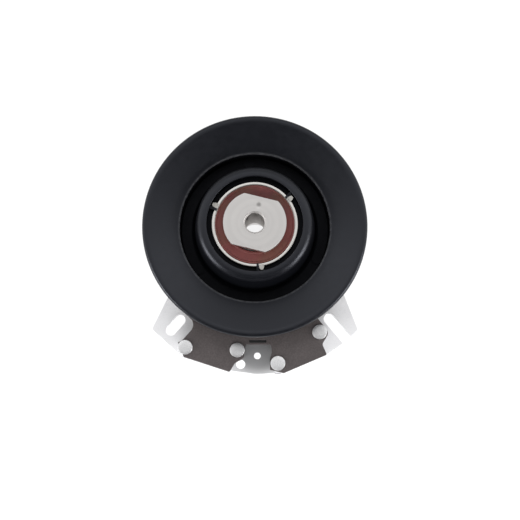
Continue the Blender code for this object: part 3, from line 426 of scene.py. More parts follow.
class Surface(Nodes):
    """A Principled material."""

    def __init__(self, metallic=0.0):
        self.material = bpy.data.materials.new("finish")
        super().__init__(self.material)
        self.shader = self.tree.nodes["Principled BSDF"]
        self.shader.inputs["Metallic"].default_value = metallic
        self.normal = None
        # The point's place, counted from the turning axis
        place = self.node("TexCoord").outputs["Object"]
        self.place = self.output("VectorMath", (place, (0.0, axis_y, 0.0)), operation="SUBTRACT")

    def split(self):
        parts = self.node("SeparateXYZ")
        self.feed(parts.inputs[0], self.place)
        return parts.outputs

    def radius(self):
        x, y, _ = self.split()
        return self.maths("SQRT", self.maths("ADD", self.times(x, x), self.times(y, y)))

    def section(self):
        """The point's radius and height as a vector, which is the same all the way round the axis."""
        return self.output("CombineXYZ", (self.radius(), 0.0, self.split()[2]))

    def noise(self, vector, scale, detail=2.0):
        made = self.node("TexNoise")
        self.feed(made.inputs["Vector"], vector)
        made.inputs["Scale"].default_value = scale
        made.inputs["Detail"].default_value = detail
        return made.outputs["Fac"]

    def spread(self, value, low, high, to_low=0.0, to_high=1.0):
        """Map one stretch of values onto another, smoothly and held at both ends."""
        return self.output("MapRange", (value, low, high, to_low, to_high), interpolation_type="SMOOTHSTEP")

    def distance(self, vector, point):
        return self.output("VectorMath", (vector, point), operation="DISTANCE").node.outputs["Value"]

    def spot(self, x, y, full, last):
        """1 within the full reach of a place in plan, falling to 0 at the last reach."""
        x_out, y_out, _ = self.split()
        plan = self.output("CombineXYZ", (x_out, y_out, 0.0))
        return self.spread(self.distance(plan, (x, y - axis_y, 0.0)), full, last, 1.0, 0.0)

    def blend(self, share, first, second):
        made = self.node("Mix", data_type="RGBA")
        self.feed(made.inputs[0], share)
        self.feed(made.inputs[6], first)
        self.feed(made.inputs[7], second)
        return made.outputs[2]

    def bump(self, height, distance):
        """Raise the surface by a height from 0 to 1, on top of the bumps so far."""
        made = self.node("Bump")
        made.inputs["Distance"].default_value = distance
        self.feed(made.inputs["Height"], height)
        if self.normal:
            self.feed(made.inputs["Normal"], self.normal)
        self.normal = made.outputs["Normal"]

    def finish(self, colour, roughness=None):
        self.feed(self.shader.inputs["Base Color"], colour)
        if roughness:
            self.feed(self.shader.inputs["Roughness"], roughness)
        if self.normal:
            self.feed(self.shader.inputs["Normal"], self.normal)
        return self.material


# Lighter paint at an edge: worn paint and painted highlight.
RUBBED_PAINT_AND_HIGHLIGHT = (0.055, 0.056, 0.060, 1.0)
DULL_ROUGHNESS = 0.72


def shade(colour, factor=1.0):
    return (*(part * factor for part in colour), 1.0)


def painted(colour, roughness, rubbed_and_highlit=(), shaded_hollows=(), gloss=(1.0, 1.0, 1.0)):
    """Sprayed paint with a fine peel, lighter at its edges as worn paint and painted highlight, and darker
    in its hollow places as painted shade, with less gloss there.

    An edge is (radius, height, reach); a hollow is (inner radius, outer radius, low height, high height).
    """
    surface = Surface()
    cloud = surface.noise(surface.place, 34.0, 4.0)
    tone = surface.blend(cloud, shade(colour, 0.90), shade(colour, 1.10))
    worn = surface.noise(surface.place, 420.0, 5.0)
    # Each edge band is lighter: worn paint and painted highlight.
    for radius, height, reach in rubbed_and_highlit:
        distance = surface.distance(surface.section(), (radius, 0.0, height))
        near = surface.spread(distance, 0.0, reach, 1.0, 0.0)
        share = surface.times(near, surface.spread(worn, 0.36, 0.62, 0.45, 0.90))
        tone = surface.blend(share, tone, RUBBED_PAINT_AND_HIGHLIGHT)
    shine = 0.5
    # Each hollow place is darkened as painted shade, and its gloss is cut.
    for inner, outer, low, high in shaded_hollows:
        half = (outer - inner) / 2
        away = surface.maths("ABSOLUTE", surface.minus(surface.radius(), inner + half))
        within = surface.spread(away, half, half + 0.0008, 1.0, 0.0)
        dull_and_shaded = surface.times(within, surface.spread(surface.split()[2], low, high, 1.0, 0.0))
        shine = surface.times(surface.minus(1.0, surface.times(dull_and_shaded, 0.85)), shine)
        tone = surface.blend(dull_and_shaded, tone, shade(colour, 0.35))
    surface.feed(surface.shader.inputs["Specular IOR Level"], shine)
    surface.shader.inputs["Specular Tint"].default_value = (*gloss, 1.0)
    peel = surface.noise(surface.place, 1500.0, 2.0)
    dust = surface.noise(surface.place, 260.0, 6.0)
    surface.bump(peel, 0.00002)
    return surface.finish(tone, surface.spread(dust, 0.3, 0.7, roughness - 0.03, roughness + 0.04))


def lathed(colour, roughness, ring_scale=2600.0, depth=0.000012, dull_and_shaded=()):
    """Steel with the fine rings of a lathe or a grinder, and with places made rougher and darker, some of
    that darkening painted shade.

    A darkened place is (x, y, full reach, last reach, lowest height, factor).
    """
    surface = Surface(metallic=1.0)
    rings = surface.noise(surface.section(), ring_scale, 4.0)
    broad = surface.noise(surface.section(), ring_scale / 9, 2.0)
    cloud = surface.noise(surface.place, 60.0, 4.0)
    tone = surface.blend(cloud, shade(colour, 0.93), shade(colour, 1.04))
    tone = surface.blend(surface.spread(broad, 0.35, 0.7, 0.0, 0.35), tone, shade(colour, 0.86))
    ground = surface.spread(rings, 0.3, 0.7, roughness - 0.07, roughness + 0.07)
    # A darkened place is rougher too; the darkening near the axis on the races is painted shade.
    for x, y, full, last, lowest, factor in dull_and_shaded:
        above = surface.spread(surface.split()[2], lowest - 0.0001, lowest)
        share = surface.times(surface.spot(x, y, full, last), above)
        tone = surface.blend(share, tone, shade(colour, factor))
        ground = surface.maths("ADD", ground, surface.times(share, surface.minus(DULL_ROUGHNESS, ground)))
    surface.bump(rings, depth)
    return surface.finish(tone, ground)


def plated(colour, roughness, streaks=14.0, metallic=1.0, painted_shades=()):
    """Zinc plate over rolled sheet: long streaks, a cloudy bloom and a few dark specks.

    A painted shade is (x, y, full reach, last reach, factor), which darkens the sheet's front face alone.
    """
    surface = Surface(metallic=metallic)
    drawn_out = surface.output("VectorMath", (surface.place, (1 / streaks, 1.0, 1.0)), operation="MULTIPLY")
    rolled = surface.noise(drawn_out, 1700.0, 4.0)
    bloom = surface.noise(surface.place, 90.0, 5.0)
    specks = surface.noise(surface.place, 1900.0, 3.0)
    tone = surface.blend(bloom, shade(colour, 0.90), shade(colour, 1.05))
    tone = surface.blend(surface.spread(specks, 0.60, 0.74, 0.0, 0.5), tone, shade(colour, 0.62))
    front = surface.spread(surface.split()[2], high_z("bracket") - 0.0012, high_z("bracket") - 0.0005)
    # Each painted shade darkens the front face near its place.
    for x, y, full, last, factor in painted_shades:
        share = surface.times(surface.spot(x, y, full, last), front)
        tone = surface.blend(share, tone, shade(colour, factor))
    surface.bump(rolled, 0.000012)
    surface.bump(specks, 0.000010)
    return surface.finish(tone, surface.spread(bloom, 0.3, 0.7, roughness - 0.06, roughness + 0.08))


def grained(colour, roughness, grain=1400.0, depth=0.00003, metallic=1.0, mottle=0.18):
    """A blasted, forged or moulded surface with a grain in its colour and its relief."""
    surface = Surface(metallic=metallic)
    fine = surface.noise(surface.place, grain, 4.0)
    patches = surface.noise(surface.place, grain / 16, 4.0)
    speckle = surface.spread(fine, 0.32, 0.68)
    tone = surface.blend(speckle, shade(colour, 1 - mottle), shade(colour, 1 + mottle))
    stain = surface.spread(patches, 0.4, 0.66, 0.0, 0.45)
    tone = surface.blend(stain, tone, shade(colour, 1 - 1.5 * mottle))
    surface.bump(fine, depth)
    return surface.finish(tone, surface.spread(patches, 0.3, 0.7, roughness - 0.05, roughness + 0.08))


def moulded_rubber(colour):
    """Red-brown seal rubber with a shallow moulded ring pattern and a film of grease."""
    surface = Surface()
    rings = surface.noise(surface.section(), 900.0, 2.0)
    film = surface.noise(surface.place, 130.0, 4.0)
    tone = surface.blend(film, shade(colour, 0.72), shade(colour, 1.22))
    brown = surface.spread(surface.noise(surface.place, 46.0, 2.0), 0.52, 0.66, 0.0, 0.5)
    tone = surface.blend(brown, tone, (0.085, 0.040, 0.024, 1.0))
    surface.shader.inputs["Specular IOR Level"].default_value = 0.35
    surface.bump(rings, 0.00004)
    return surface.finish(tone, surface.spread(film, 0.3, 0.7, 0.45, 0.62))


def wound_wire(colour, pitch):
    """Enamelled wire, turn beside turn."""
    surface = Surface(metallic=1.0)
    height = surface.split()[2]
    wave = surface.maths("SINE", surface.times(height, 2 * math.pi / pitch))
    turns = surface.spread(wave, -1.0, 1.0)
    # The colour is darker between the turns: painted shade in the creases.
    tone = surface.blend(turns, shade(colour, 0.45), shade(colour, 1.1))
    surface.bump(turns, 0.0002)
    return surface.finish(tone, surface.spread(turns, 0.0, 1.0, 0.5, 0.3))


finishes = {
    "pulley_paint": painted(
        (0.0030, 0.0033, 0.0046), 0.36,
        # The lip is lighter: worn paint and painted highlight.
        rubbed_and_highlit=((LIP_RADIUS + 0.0004, LIP_HEIGHT - 0.0004, 0.0017),),
        # The recess round the race and the moat are darkened: painted shade, with less gloss.
        shaded_hollows=(
            (seat_radius, COUNTERBORE_RADIUS, race_top + 0.0005, housing_top - 0.0005),
            (HOUSING_RADIUS + 0.0012, LIP_RADIUS, MOAT_FLOOR + 0.0035, LIP_HEIGHT - 0.0020),
        ),
        gloss=(0.86, 0.89, 1.0),
    ),
    "field_paint": painted((0.0130, 0.0132, 0.0138), 0.52),
    "race_steel": lathed(
        # Darker near the axis: painted shade on the inner race's face under the hub disc's flats.
        (0.80, 0.78, 0.75), 0.24, 3400.0, 0.000008, dull_and_shaded=((0.0, axis_y, 0.0195, 0.0200, hub_rear, 0.22),)
    ),
    "disc_steel": lathed(
        (0.72, 0.70, 0.685), 0.40,
        dull_and_shaded=(
            (0.0, axis_y, NOSE_RADIUS + NOSE_CHAMFER, NOSE_RADIUS + 0.0016, disc_top - 0.0012, 0.95),
            (*PUNCH_MARK, 0.0006, 0.0024, disc_top - 0.0020, 0.60),
        ),
    ),
    "plain_steel": lathed((0.46, 0.45, 0.44), 0.40, 1900.0, 0.000020),
    "bare_steel": grained((0.54, 0.53, 0.50), 0.42, 2100.0),
    "spring_steel": plated((0.20, 0.235, 0.32), 0.32),
    "rivet_steel": grained((0.90, 0.90, 0.91), 0.44, 1500.0, 0.00005, mottle=0.10),
    "zinc": plated(
        (0.84, 0.84, 0.855), 0.48, metallic=0.45,
        # Darkened between the brake's wings and in a row under its slit: painted shade.
        painted_shades=(
            (*below_wall(0.0025, -0.0140), 0.0150, 0.0300, 0.36),
            *((*below_wall(-0.0032 + 0.0016 * k, -0.0110), 0.0024, 0.0034, 0.05) for k in range(7)),
        ),
    ),
    "brake_steel": grained((0.092, 0.080, 0.080), 0.52, 1100.0, 0.00002, metallic=0.55, mottle=0.14),
    "seal_rubber": moulded_rubber((0.108, 0.028, 0.026)),
    "cage_steel": grained((0.60, 0.57, 0.52), 0.30, 900.0, 0.00001, mottle=0.06),
    "friction_material": grained((0.060, 0.050, 0.042), 0.80, 1300.0, 0.00008, metallic=0.0, mottle=0.40),
    "bobbin_plastic": grained((0.030, 0.028, 0.026), 0.50, 1800.0, 0.00002, metallic=0.0, mottle=0.12),
    "connector_plastic": grained((0.020, 0.020, 0.022), 0.44, 2200.0, 0.00002, metallic=0.0, mottle=0.15),
    "copper": wound_wire((0.62, 0.27, 0.13), 0.0011),
    "brass": plated((0.66, 0.50, 0.22), 0.30),
}
for name, finish in finishes.items():
    finish.name = name

# Every solid takes the finish of its slot, and a finer piece then replaces the ones that show
slots = {part["node"]: part["material_slot"] for part in frame["record"]["subparts"]}
for node, solid in frame["nodes"].items():
    for material_slot in solid.material_slots:
        material_slot.material = finishes[slots[node]]


# Pulley

def pulley_section():
    """Half section: seat, shoulder, web, rim with its V groove, dished face, moat and housing."""
    seat_low = race_low - SEAT_GAP
    groove_slope = math.tan(math.radians(17))
    recess_floor = race_top - RECESS_DEPTH
    shoulder = 0.0292
    web_edge = 0.0532
    pocket_edge = 0.0616
    pocket_top = web_base + 0.0022
    return [
        (seat_radius, seat_low, 0.0),
        (shoulder, seat_low, 0.0003),
        (shoulder, seat_low - 0.0031, 0.0005),
        (seat_radius, seat_low - 0.0037, 0.0),
        (seat_radius, web_base, 0.0006),
        (web_edge, web_base, 0.0005),
        (web_edge, pocket_top, 0.0008),
        (pocket_edge, pocket_top, 0.0010),
        (pocket_edge, RIM_BASE, 0.0006),
        (REAR_RADIUS, RIM_BASE, 0.0012),
        (REAR_RADIUS, GROOVE_LOW, 0.0008),
        (ROOT_RADIUS, GROOVE_LOW + (REAR_RADIUS - ROOT_RADIUS) * groove_slope, 0.0012),
        (ROOT_RADIUS, GROOVE_HIGH - (pulley_radius - ROOT_RADIUS) * groove_slope, 0.0012),
        (pulley_radius, GROOVE_HIGH, 0.0009),
        (pulley_radius, RIM_FACE, 0.0024),
        (CREST_RADIUS, RIM_FACE, 0.0060),
        (LIP_RADIUS, LIP_HEIGHT - 0.0004, 0.0012),
        (LIP_RADIUS, MOAT_FLOOR, 0.0014),
        (MOAT_FOOT_RADIUS, MOAT_FLOOR, 0.0030),
        (HOUSING_RADIUS, housing_top, 0.0056),
        (COUNTERBORE_RADIUS, housing_top, 0.0005),
        (COUNTERBORE_RADIUS, recess_floor, 0.0004),
        (seat_radius, recess_floor, 0.0),
    ]


def radial_block(name, turn, inner, outer, half_in, half_out, base, top, finish=None):
    """A block along a radius, narrower at one end."""
    outline = [(inner, -half_in), (outer, -half_out), (outer, half_out), (inner, half_in)]
    placed = [polar(math.hypot(*corner), turn + math.atan2(corner[1], corner[0])) for corner in outline]
    return prism(name, [placed], base, top, finish)


def push_over(name, turn, foot, lip, edge, finish, slot):
    """Raise a block on the housing with a lip over the race."""
    piece = radial_block(name, turn, *foot, finish)
    combine(piece, radial_block("lip", turn, *lip), "UNION")
    show(soften(piece, edge), "pulley", slot, "pulley")


def make_pulley():
    """The pulley, with staked blocks pushed over the race and a bare scrape beside each of them."""
    pulley = turned("pulley_body", pulley_section(), "pulley_paint", PULLEY_STEPS)
    sunk = FLUSH_HOLE + CUT_MARGIN * (FLUSH_HOLE - DRIVE_HOLE) / FLUSH_HEAD_DEPTH
    tool = [
        (0.0, web_base - CUT_MARGIN),
        (DRIVE_HOLE, web_base - CUT_MARGIN),
        (DRIVE_HOLE, MOAT_FLOOR - FLUSH_HEAD_DEPTH),
        (sunk, MOAT_FLOOR + CUT_MARGIN),
        (0.0, MOAT_FLOOR + CUT_MARGIN),
    ]
    bm = bmesh.new()
    for k in (1, 2, 3):
        place = middle(f"pulley_rivet_{k}")
        revolve(bm, tool, RIVET_STEPS, place.x, place.y, closed=False)
    combine(pulley, made_from("web_holes", bm))
    show(pulley, "pulley", "pulley_paint", "pulley")
    floor = race_top - RECESS_DEPTH
    lip_base = race_top + SEAT_GAP
    bare_top = race_top + 0.0009
    for index, (turn, side) in enumerate(zip(STAKE_ANGLES, (-1, -1, 1)), start=1):
        push_over(
            f"stake_{index}", turn,
            (seat_radius, 0.0351, 0.0010, 0.0012, floor, race_top + 0.0013),
            (0.0291, 0.0330, 0.0008, 0.0010, lip_base, race_top + 0.0012),
            FINE_EDGE, "pulley_paint", "pulley_paint",
        )
        push_over(
            f"stake_scrape_{index}", turn + side * math.radians(4.8),
            (seat_radius, 0.0336, 0.0020, 0.0009, floor, bare_top),
            (0.0297, 0.0325, 0.0020, 0.0016, lip_base, bare_top),
            0.00010, "bare_steel", "race_steel",
        )


def show_pin(name, corners, finish, body):
    """Turn a pin from the corners of its open half section, in the place of its solid."""
    place = middle(name)
    section = filleted(corners, closed=False)
    pin = spun(name + "_fine", section, finish, place.x, place.y, closed=False)
    show(pin, body, slots[name], name)


def make_rivet(name, head_height, shank, head, dome, finish, body):
    """A rivet with a low round head at both ends."""
    low, high = heights(name)
    ends = [
        (0.0, 0.0, 0.0),
        (head * 0.62, dome / 4, 0.0004),
        (head, dome, 0.0003),
        (head, head_height, 0.0001),
        (shank, head_height, 0.0),
    ]
    corners = [(radius, low + height, fillet) for radius, height, fillet in ends]
    corners += [(radius, high - height, fillet) for radius, height, fillet in reversed(ends)]
    show_pin(name, corners, finish, body)


def make_flush_rivet(name, finish, body):
    """A rivet with a round head behind, and a flush head in the moat's floor."""
    low, high = heights(name)
    corners = [
        (0.0, low, 0.0),
        (DRIVE_SHANK, low + 0.0001, 0.0004),
        (DRIVE_HEAD, low + 0.0004, 0.0003),
        (DRIVE_HEAD, low + DRIVE_HEAD_HEIGHT, 0.0001),
        (DRIVE_SHANK, low + DRIVE_HEAD_HEIGHT, 0.0),
        (DRIVE_SHANK, high - FLUSH_HEAD_DEPTH, 0.0),
        (FLUSH_HEAD, high, 0.0001),
        (0.0, high, 0.0),
    ]
    show_pin(name, corners, finish, body)


def make_rivets():
    for k in (1, 2, 3, 4):
        name = f"bracket_rivet_{k}"
        make_rivet(name, 0.0018, 0.0026, 0.0053, 0.0003, "rivet_steel", "field")
    for k in (1, 2, 3):
        name = f"armature_rivet_{k}"
        make_rivet(name, DRIVE_HEAD_HEIGHT, DRIVE_SHANK, DRIVE_HEAD, 0.0004, "rivet_steel", "armature")
        make_flush_rivet(f"pulley_rivet_{k}", "pulley_paint", "pulley")


# Bearings and hub

def race_section(back, chamfer, land, track, low, high):
    """Section of a race: its round back, and a land at each side of its track."""
    recess = 0.0017
    return [
        (back, low, chamfer),
        (back, high, chamfer),
        (land, high, 0.0003),
        (land, high - recess, 0.0),
        (track, high - recess, 0.0),
        (track, low + recess, 0.0),
        (land, low + recess, 0.0),
        (land, low, 0.0003),
    ]


def make_bearing(prefix, outer_body, inner_body):
    """Races with ground chamfers, and seals with a pressed rim and a thin inner lip."""
    low, high = heights(prefix + "_outer_race")
    land_out = 0.0289
    land_in = 0.0193
    track_in = 0.0211
    outer = race_section(bearing_radius, 0.0006, land_out, 0.0277, low, high)
    inner = race_section(BEARING_BORE, 0.0005, land_in, track_in, low, high)
    for side, corners, body in (("outer", outer, outer_body), ("inner", inner, inner_body)):
        ring = turned(f"{prefix}_{side}", corners, "race_steel")
        show(ring, body, "race_steel", f"{prefix}_{side}_race")
    for side, facing in (("rear", -1), ("front", 1)):
        node = f"{prefix}_seal_{side}"
        face = high_z(node) if facing > 0 else low_z(node)
        back = low_z(node) if facing > 0 else high_z(node)
        sunk = face - facing * 0.00045
        lip = face - facing * 0.0001
        seal = [
            (land_in + SEAT_GAP, back, 0.0),
            (land_out - SEAT_GAP, back, 0.0),
            (land_out - SEAT_GAP, face, 0.0003),
            (0.0275, face, 0.0003),
            (0.0270, sunk, 0.0003),
            (0.0216, sunk, 0.0003),
            (track_in, lip, 0.0004),
            (land_in + 0.0008, lip, 0.0003),
            (land_in + SEAT_GAP, sunk, 0.0002),
        ]
        show(turned(node + "_lip", seal, "seal_rubber"), outer_body, "seal_rubber", node)


def cut_thread(bm, radius, low, high, pitch, depth):
    """Push the points of a round wall outwards along a helix."""
    for vert in bm.verts:
        away = math.hypot(vert.co.x, vert.co.y - axis_y)
        if abs(away - radius) > 1e-6 or not low < vert.co.z < high:
            continue
        turn = math.atan2(vert.co.y - axis_y, vert.co.x)
        phase = vert.co.z / pitch * 2 * math.pi - turn
        push = depth * (0.5 - 0.5 * math.cos(phase)) / away
        vert.co.x += vert.co.x * push
        vert.co.y += (vert.co.y - axis_y) * push


def make_hub():
    """The hub and its front disc: flats, keyway, threaded nose bore and a small punch mark."""
    pitch = 0.0016
    thread_low = NOSE_BORE_BASE + 0.0004
    thread_high = disc_top - 0.0012
    rows = math.ceil((thread_high - thread_low) / pitch * 6)
    ring_top = 0.0060
    ring_low = ring_top - 0.0013
    ring_root = JOURNAL_RADIUS - 0.0012
    collar = JOURNAL_RADIUS + 0.0015
    disc_base = disc_top - 0.0040
    chamfer = 0.0008
    corners = [
        (BORE_RADIUS + chamfer, hub_rear, 0.0),
        (JOURNAL_RADIUS - chamfer, hub_rear, 0.0003),
        (JOURNAL_RADIUS, hub_rear + chamfer, 0.0003),
        (JOURNAL_RADIUS, ring_low, 0.0),
        (ring_root, ring_low, 0.0),
        (ring_root, ring_top, 0.0),
        (JOURNAL_RADIUS, ring_top, 0.0),
        (JOURNAL_RADIUS, race_top + SEAT_GAP, 0.0),
        (collar, race_top + SEAT_GAP, 0.0002),
        (collar, disc_base, 0.0),
        (DISC_RADIUS, disc_base, 0.0),
        (DISC_RADIUS, disc_top, 0.0),
        (NOSE_RADIUS + NOSE_CHAMFER, disc_top, 0.0),
        (NOSE_RADIUS, disc_top - NOSE_CHAMFER, 0.0),
    ]
    row = (thread_low - thread_high) / rows
    corners += [(NOSE_RADIUS, thread_high + row * k, 0.0) for k in range(rows + 1)]
    corners += [
        (NOSE_RADIUS, NOSE_BORE_BASE, 0.0),
        (BORE_RADIUS, NOSE_BORE_BASE - 0.0014, 0.0),
        (BORE_RADIUS, hub_rear + chamfer, 0.0),
    ]
    bm = bmesh.new()
    revolve(bm, filleted(corners), RING_STEPS)
    cut_thread(bm, NOSE_RADIUS, thread_low - 1e-5, thread_high + 1e-5, pitch, 0.00022)
    hub = made_from("drive_hub_fine", bm, "disc_steel")
    flat_from = DISC_RADIUS - 0.0036
    reach = 2 * DISC_RADIUS
    for turn in (FLATS_TURN, FLATS_TURN + math.pi):
        combine(hub, radial_block(
            "flat", turn, flat_from, reach, reach, reach, disc_base - SEAT_GAP, disc_top + CUT_MARGIN
        ))
    dimple = [(0.0, disc_top - 0.0008), (0.0021, disc_top + 0.0002), (0.0, disc_top + 0.0002)]
    combine(hub, spun("punch_mark", dimple, None, *PUNCH_MARK, closed=False))
    half = 0.00635 / 2
    root = axis_y - BORE_RADIUS - 0.0024
    keyway = rectangle(-half, root, half, axis_y)
    combine(hub, prism("keyway", [keyway], hub_rear - CUT_MARGIN, NOSE_BORE_BASE - 0.0030))
    show(soften(hub, FINE_EDGE), "rotor", "disc_steel", "drive_hub")


def make_retaining_ring():
    """A snap ring in the hub's groove, with a holed lug at each end."""
    low, high = heights("hub_retaining_ring")
    inner = 0.0166
    outer = 0.0196
    opening = math.radians(14)
    start = math.radians(-90) + opening
    end = math.radians(270) - opening
    ring = arc(0, axis_y, outer, start, end) + arc(0, axis_y, inner, end, start)
    piece = prism("snap_ring", [ring], low, high, "spring_steel")
    for turn in (start, end):
        combine(piece, prism("lug", [circle(*polar(0.0189, turn), 0.0021)], low, high), "UNION")
    for turn in (start, end):
        cut_through(piece, [circle(*polar(0.0190, turn), 0.0009)], low, high)
    show(soften(piece, 0.0001), "rotor", "spring_steel", "hub_retaining_ring")


# Rotor, armature and field

def make_rotor():
    """The rotor: boss, slotted pole face and the skirt round the field."""
    rotor_face = high_z("rotor")
    rotor_back = rotor_face - 0.0055
    skirt_base = rotor_back - 0.0120
    boss_low = low_z("rotor")
    boss = 0.0205
    hub_step = 0.0305
    hub_back = rotor_back - 0.0052
    skirt_inner = rotor_radius - 0.0040
    friction_out = rotor_radius - 0.0125
    friction_in = friction_out - 0.0080
    friction_floor = rotor_face - 0.0022
    corners = [
        (BEARING_BORE, boss_low, 0.0),
        (boss, boss_low, 0.0),
        (boss, hub_back, 0.0005),
        (hub_step, hub_back, 0.0008),
        (hub_step, rotor_back, 0.0010),
        (skirt_inner, rotor_back, 0.0012),
        (skirt_inner, skirt_base, 0.0004),
        (rotor_radius, skirt_base, 0.0006),
        (rotor_radius, rotor_face, 0.0010),
        (friction_out, rotor_face, 0.0),
        (friction_out, friction_floor, 0.0),
        (friction_in, friction_floor, 0.0),
        (friction_in, rotor_face, 0.0),
        (BEARING_BORE, rotor_face, 0.0),
    ]
    rotor = turned("rotor_body", corners, "plain_steel")
    outlines = []
    for radius, offset in ((friction_in - 0.0045, 0.0), (friction_out + 0.0045, 0.5)):
        for k in range(4):
            outlines.append(ring_slot(radius, 0.0030, math.radians(90) * (k + offset), math.radians(66)))
    cut_through(rotor, outlines, rotor_back, rotor_face)
    show(rotor, "rotor", "plain_steel", "rotor")


def make_armature():
    """The armature: sunk holes for its rivets, clearance for the pulley's rivets and three long slots."""
    low, high = heights("armature")
    corners = tube(0.0240, armature_radius, low, high, 0.0005, 0.0007)
    armature = turned("armature_plate", corners, "plain_steel")
    through = []
    sunk = []
    for k in (1, 2, 3):
        pulley_rivet = middle(f"pulley_rivet_{k}")
        own_rivet = middle(f"armature_rivet_{k}")
        start = math.atan2(pulley_rivet.y - axis_y, pulley_rivet.x)
        through.append(circle(pulley_rivet.x, pulley_rivet.y, 0.0054))
        through.append(circle(own_rivet.x, own_rivet.y, DRIVE_HOLE))
        through.append(ring_slot(0.0448, 0.0030, start + math.radians(60), math.radians(72)))
        sunk.append(circle(own_rivet.x, own_rivet.y, 0.0037))
    cut_through(armature, through, low, high)
    combine(armature, prism("armature_sinks", sunk, low - CUT_MARGIN, low + 0.0023))
    show(armature, "armature", "plain_steel", "armature")


def make_leaf_springs():
    """Thin leaves between the pulley's rivet and the armature's, cut across into short steps along their
    length.
    """
    for k in (1, 2, 3):
        node = f"leaf_spring_{k}"
        low, high = heights(node)
        first = middle(f"pulley_rivet_{k}")
        last = middle(f"armature_rivet_{k}")
        first.z = last.z = (low + high) / 2
        along = last - first
        outline = round_ended(first.x, first.y, last.x, last.y, LEAF_HALF_WIDTH)
        leaf = prism(node + "_fine", [outline], low, high, "spring_steel")
        holes = [circle(place.x, place.y, DRIVE_HOLE) for place in (first, last)]
        cut_through(leaf, holes, low, high)
        clamped = LEAF_HALF_WIDTH / along.length
        start = first.lerp(last, clamped)
        end = last.lerp(first, clamped)
        bm = bmesh.new()
        bm.from_mesh(leaf.data)
        for step in range(LEAF_STEPS + 1):
            place = start.lerp(end, step / LEAF_STEPS)
            geometry = [*bm.verts, *bm.edges, *bm.faces]
            bmesh.ops.bisect_plane(bm, geom=geometry, plane_co=place, plane_no=along)
        bm.to_mesh(leaf.data)
        bm.free()
        soften(leaf, 0.0001)
        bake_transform(leaf)
        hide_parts(node)


def make_field_shell():
    """The field's steel cup, with the bearing seat inside and a window for the coil's lead."""
    low, high = heights("field_shell")
    shoulder = 0.0277
    shoulder_top = low + 0.0027
    clip_low = 0.02045
    clip_high = 0.0218
    corners = [
        (shoulder, low, 0.0004),
        (field_radius, low, 0.0014),
        (field_radius, high, 0.0004),
        (COIL_OUTER_RADIUS, high, 0.0004),
        (COIL_OUTER_RADIUS, low + 0.0040, 0.0010),
        (FIELD_INNER_RADIUS, low + 0.0040, 0.0010),
        (FIELD_INNER_RADIUS, high, 0.0004),
        (seat_radius, high, 0.0004),
        (seat_radius, clip_high, 0.0),
        (seat_radius + 0.0016, clip_high, 0.0),
        (seat_radius + 0.0016, clip_low, 0.0),
        (seat_radius, clip_low, 0.0),
        (seat_radius, shoulder_top, 0.0),
        (shoulder, shoulder_top, 0.0004),
    ]
    shell = turned("field_cup", corners, "field_paint")
    half = 0.0055 + SEAT_GAP
    out = -field_radius - CUT_MARGIN
    combine(shell, block(
        "lead_window", (out, axis_y - half, 0.0088), (CUT_MARGIN - COIL_OUTER_RADIUS, axis_y + half, 0.0134)
    ))
    show(shell, "field", "field_paint", "field_shell")


def make_connector():
    """The coil's two-pin socket: a rounded shroud with a latch ramp, side ribs and a collar at its neck."""
    low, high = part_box("coil_connector")
    y = (low.y + high.y) / 2
    face = -(field_radius + 0.0006)
    wall = 0.0016
    roof = high.z - 0.0004
    socket = block("socket", low, (face, high.y, high.z), "connector_plastic")
    soften(socket, 0.0011, 4)
    neck = block("neck", (face - 0.0010, y - 0.0055, 0.0091), (high.x, y + 0.0055, 0.0131))
    combine(socket, soften(neck, 0.0005), "UNION")
    for side in (y - 0.0045, y + 0.0045):
        start = (low.x + 0.0030, side - 0.0005, roof)
        rib = block("rib", start, (face - 0.0015, side + 0.0005, high.z + 0.0005))
        combine(socket, soften(rib, 0.0002), "UNION")
    ramp = block("latch", (low.x + 0.0022, y - 0.0022, roof), (low.x + 0.0052, y + 0.0022, high.z + 0.0011))
    combine(socket, soften(ramp, 0.0004), "UNION")
    start = (low.x - CUT_MARGIN, low.y + wall, low.z + wall)
    mouth = block("mouth", start, (face - 0.0045, high.y - wall, high.z - wall))
    combine(socket, soften(mouth, 0.0006))
    show(socket, "field", "connector_plastic", "coil_connector")


# Bracket and brake

def beside(slot, along, across, *radius):
    """A corner counted along a slot, from its upper end, and across it."""
    x, y = below_wall(*slot[:2])
    cos = math.cos(slot[2])
    sin = math.sin(slot[2])
    return x + along * cos - across * sin, y + along * sin + across * cos, *radius


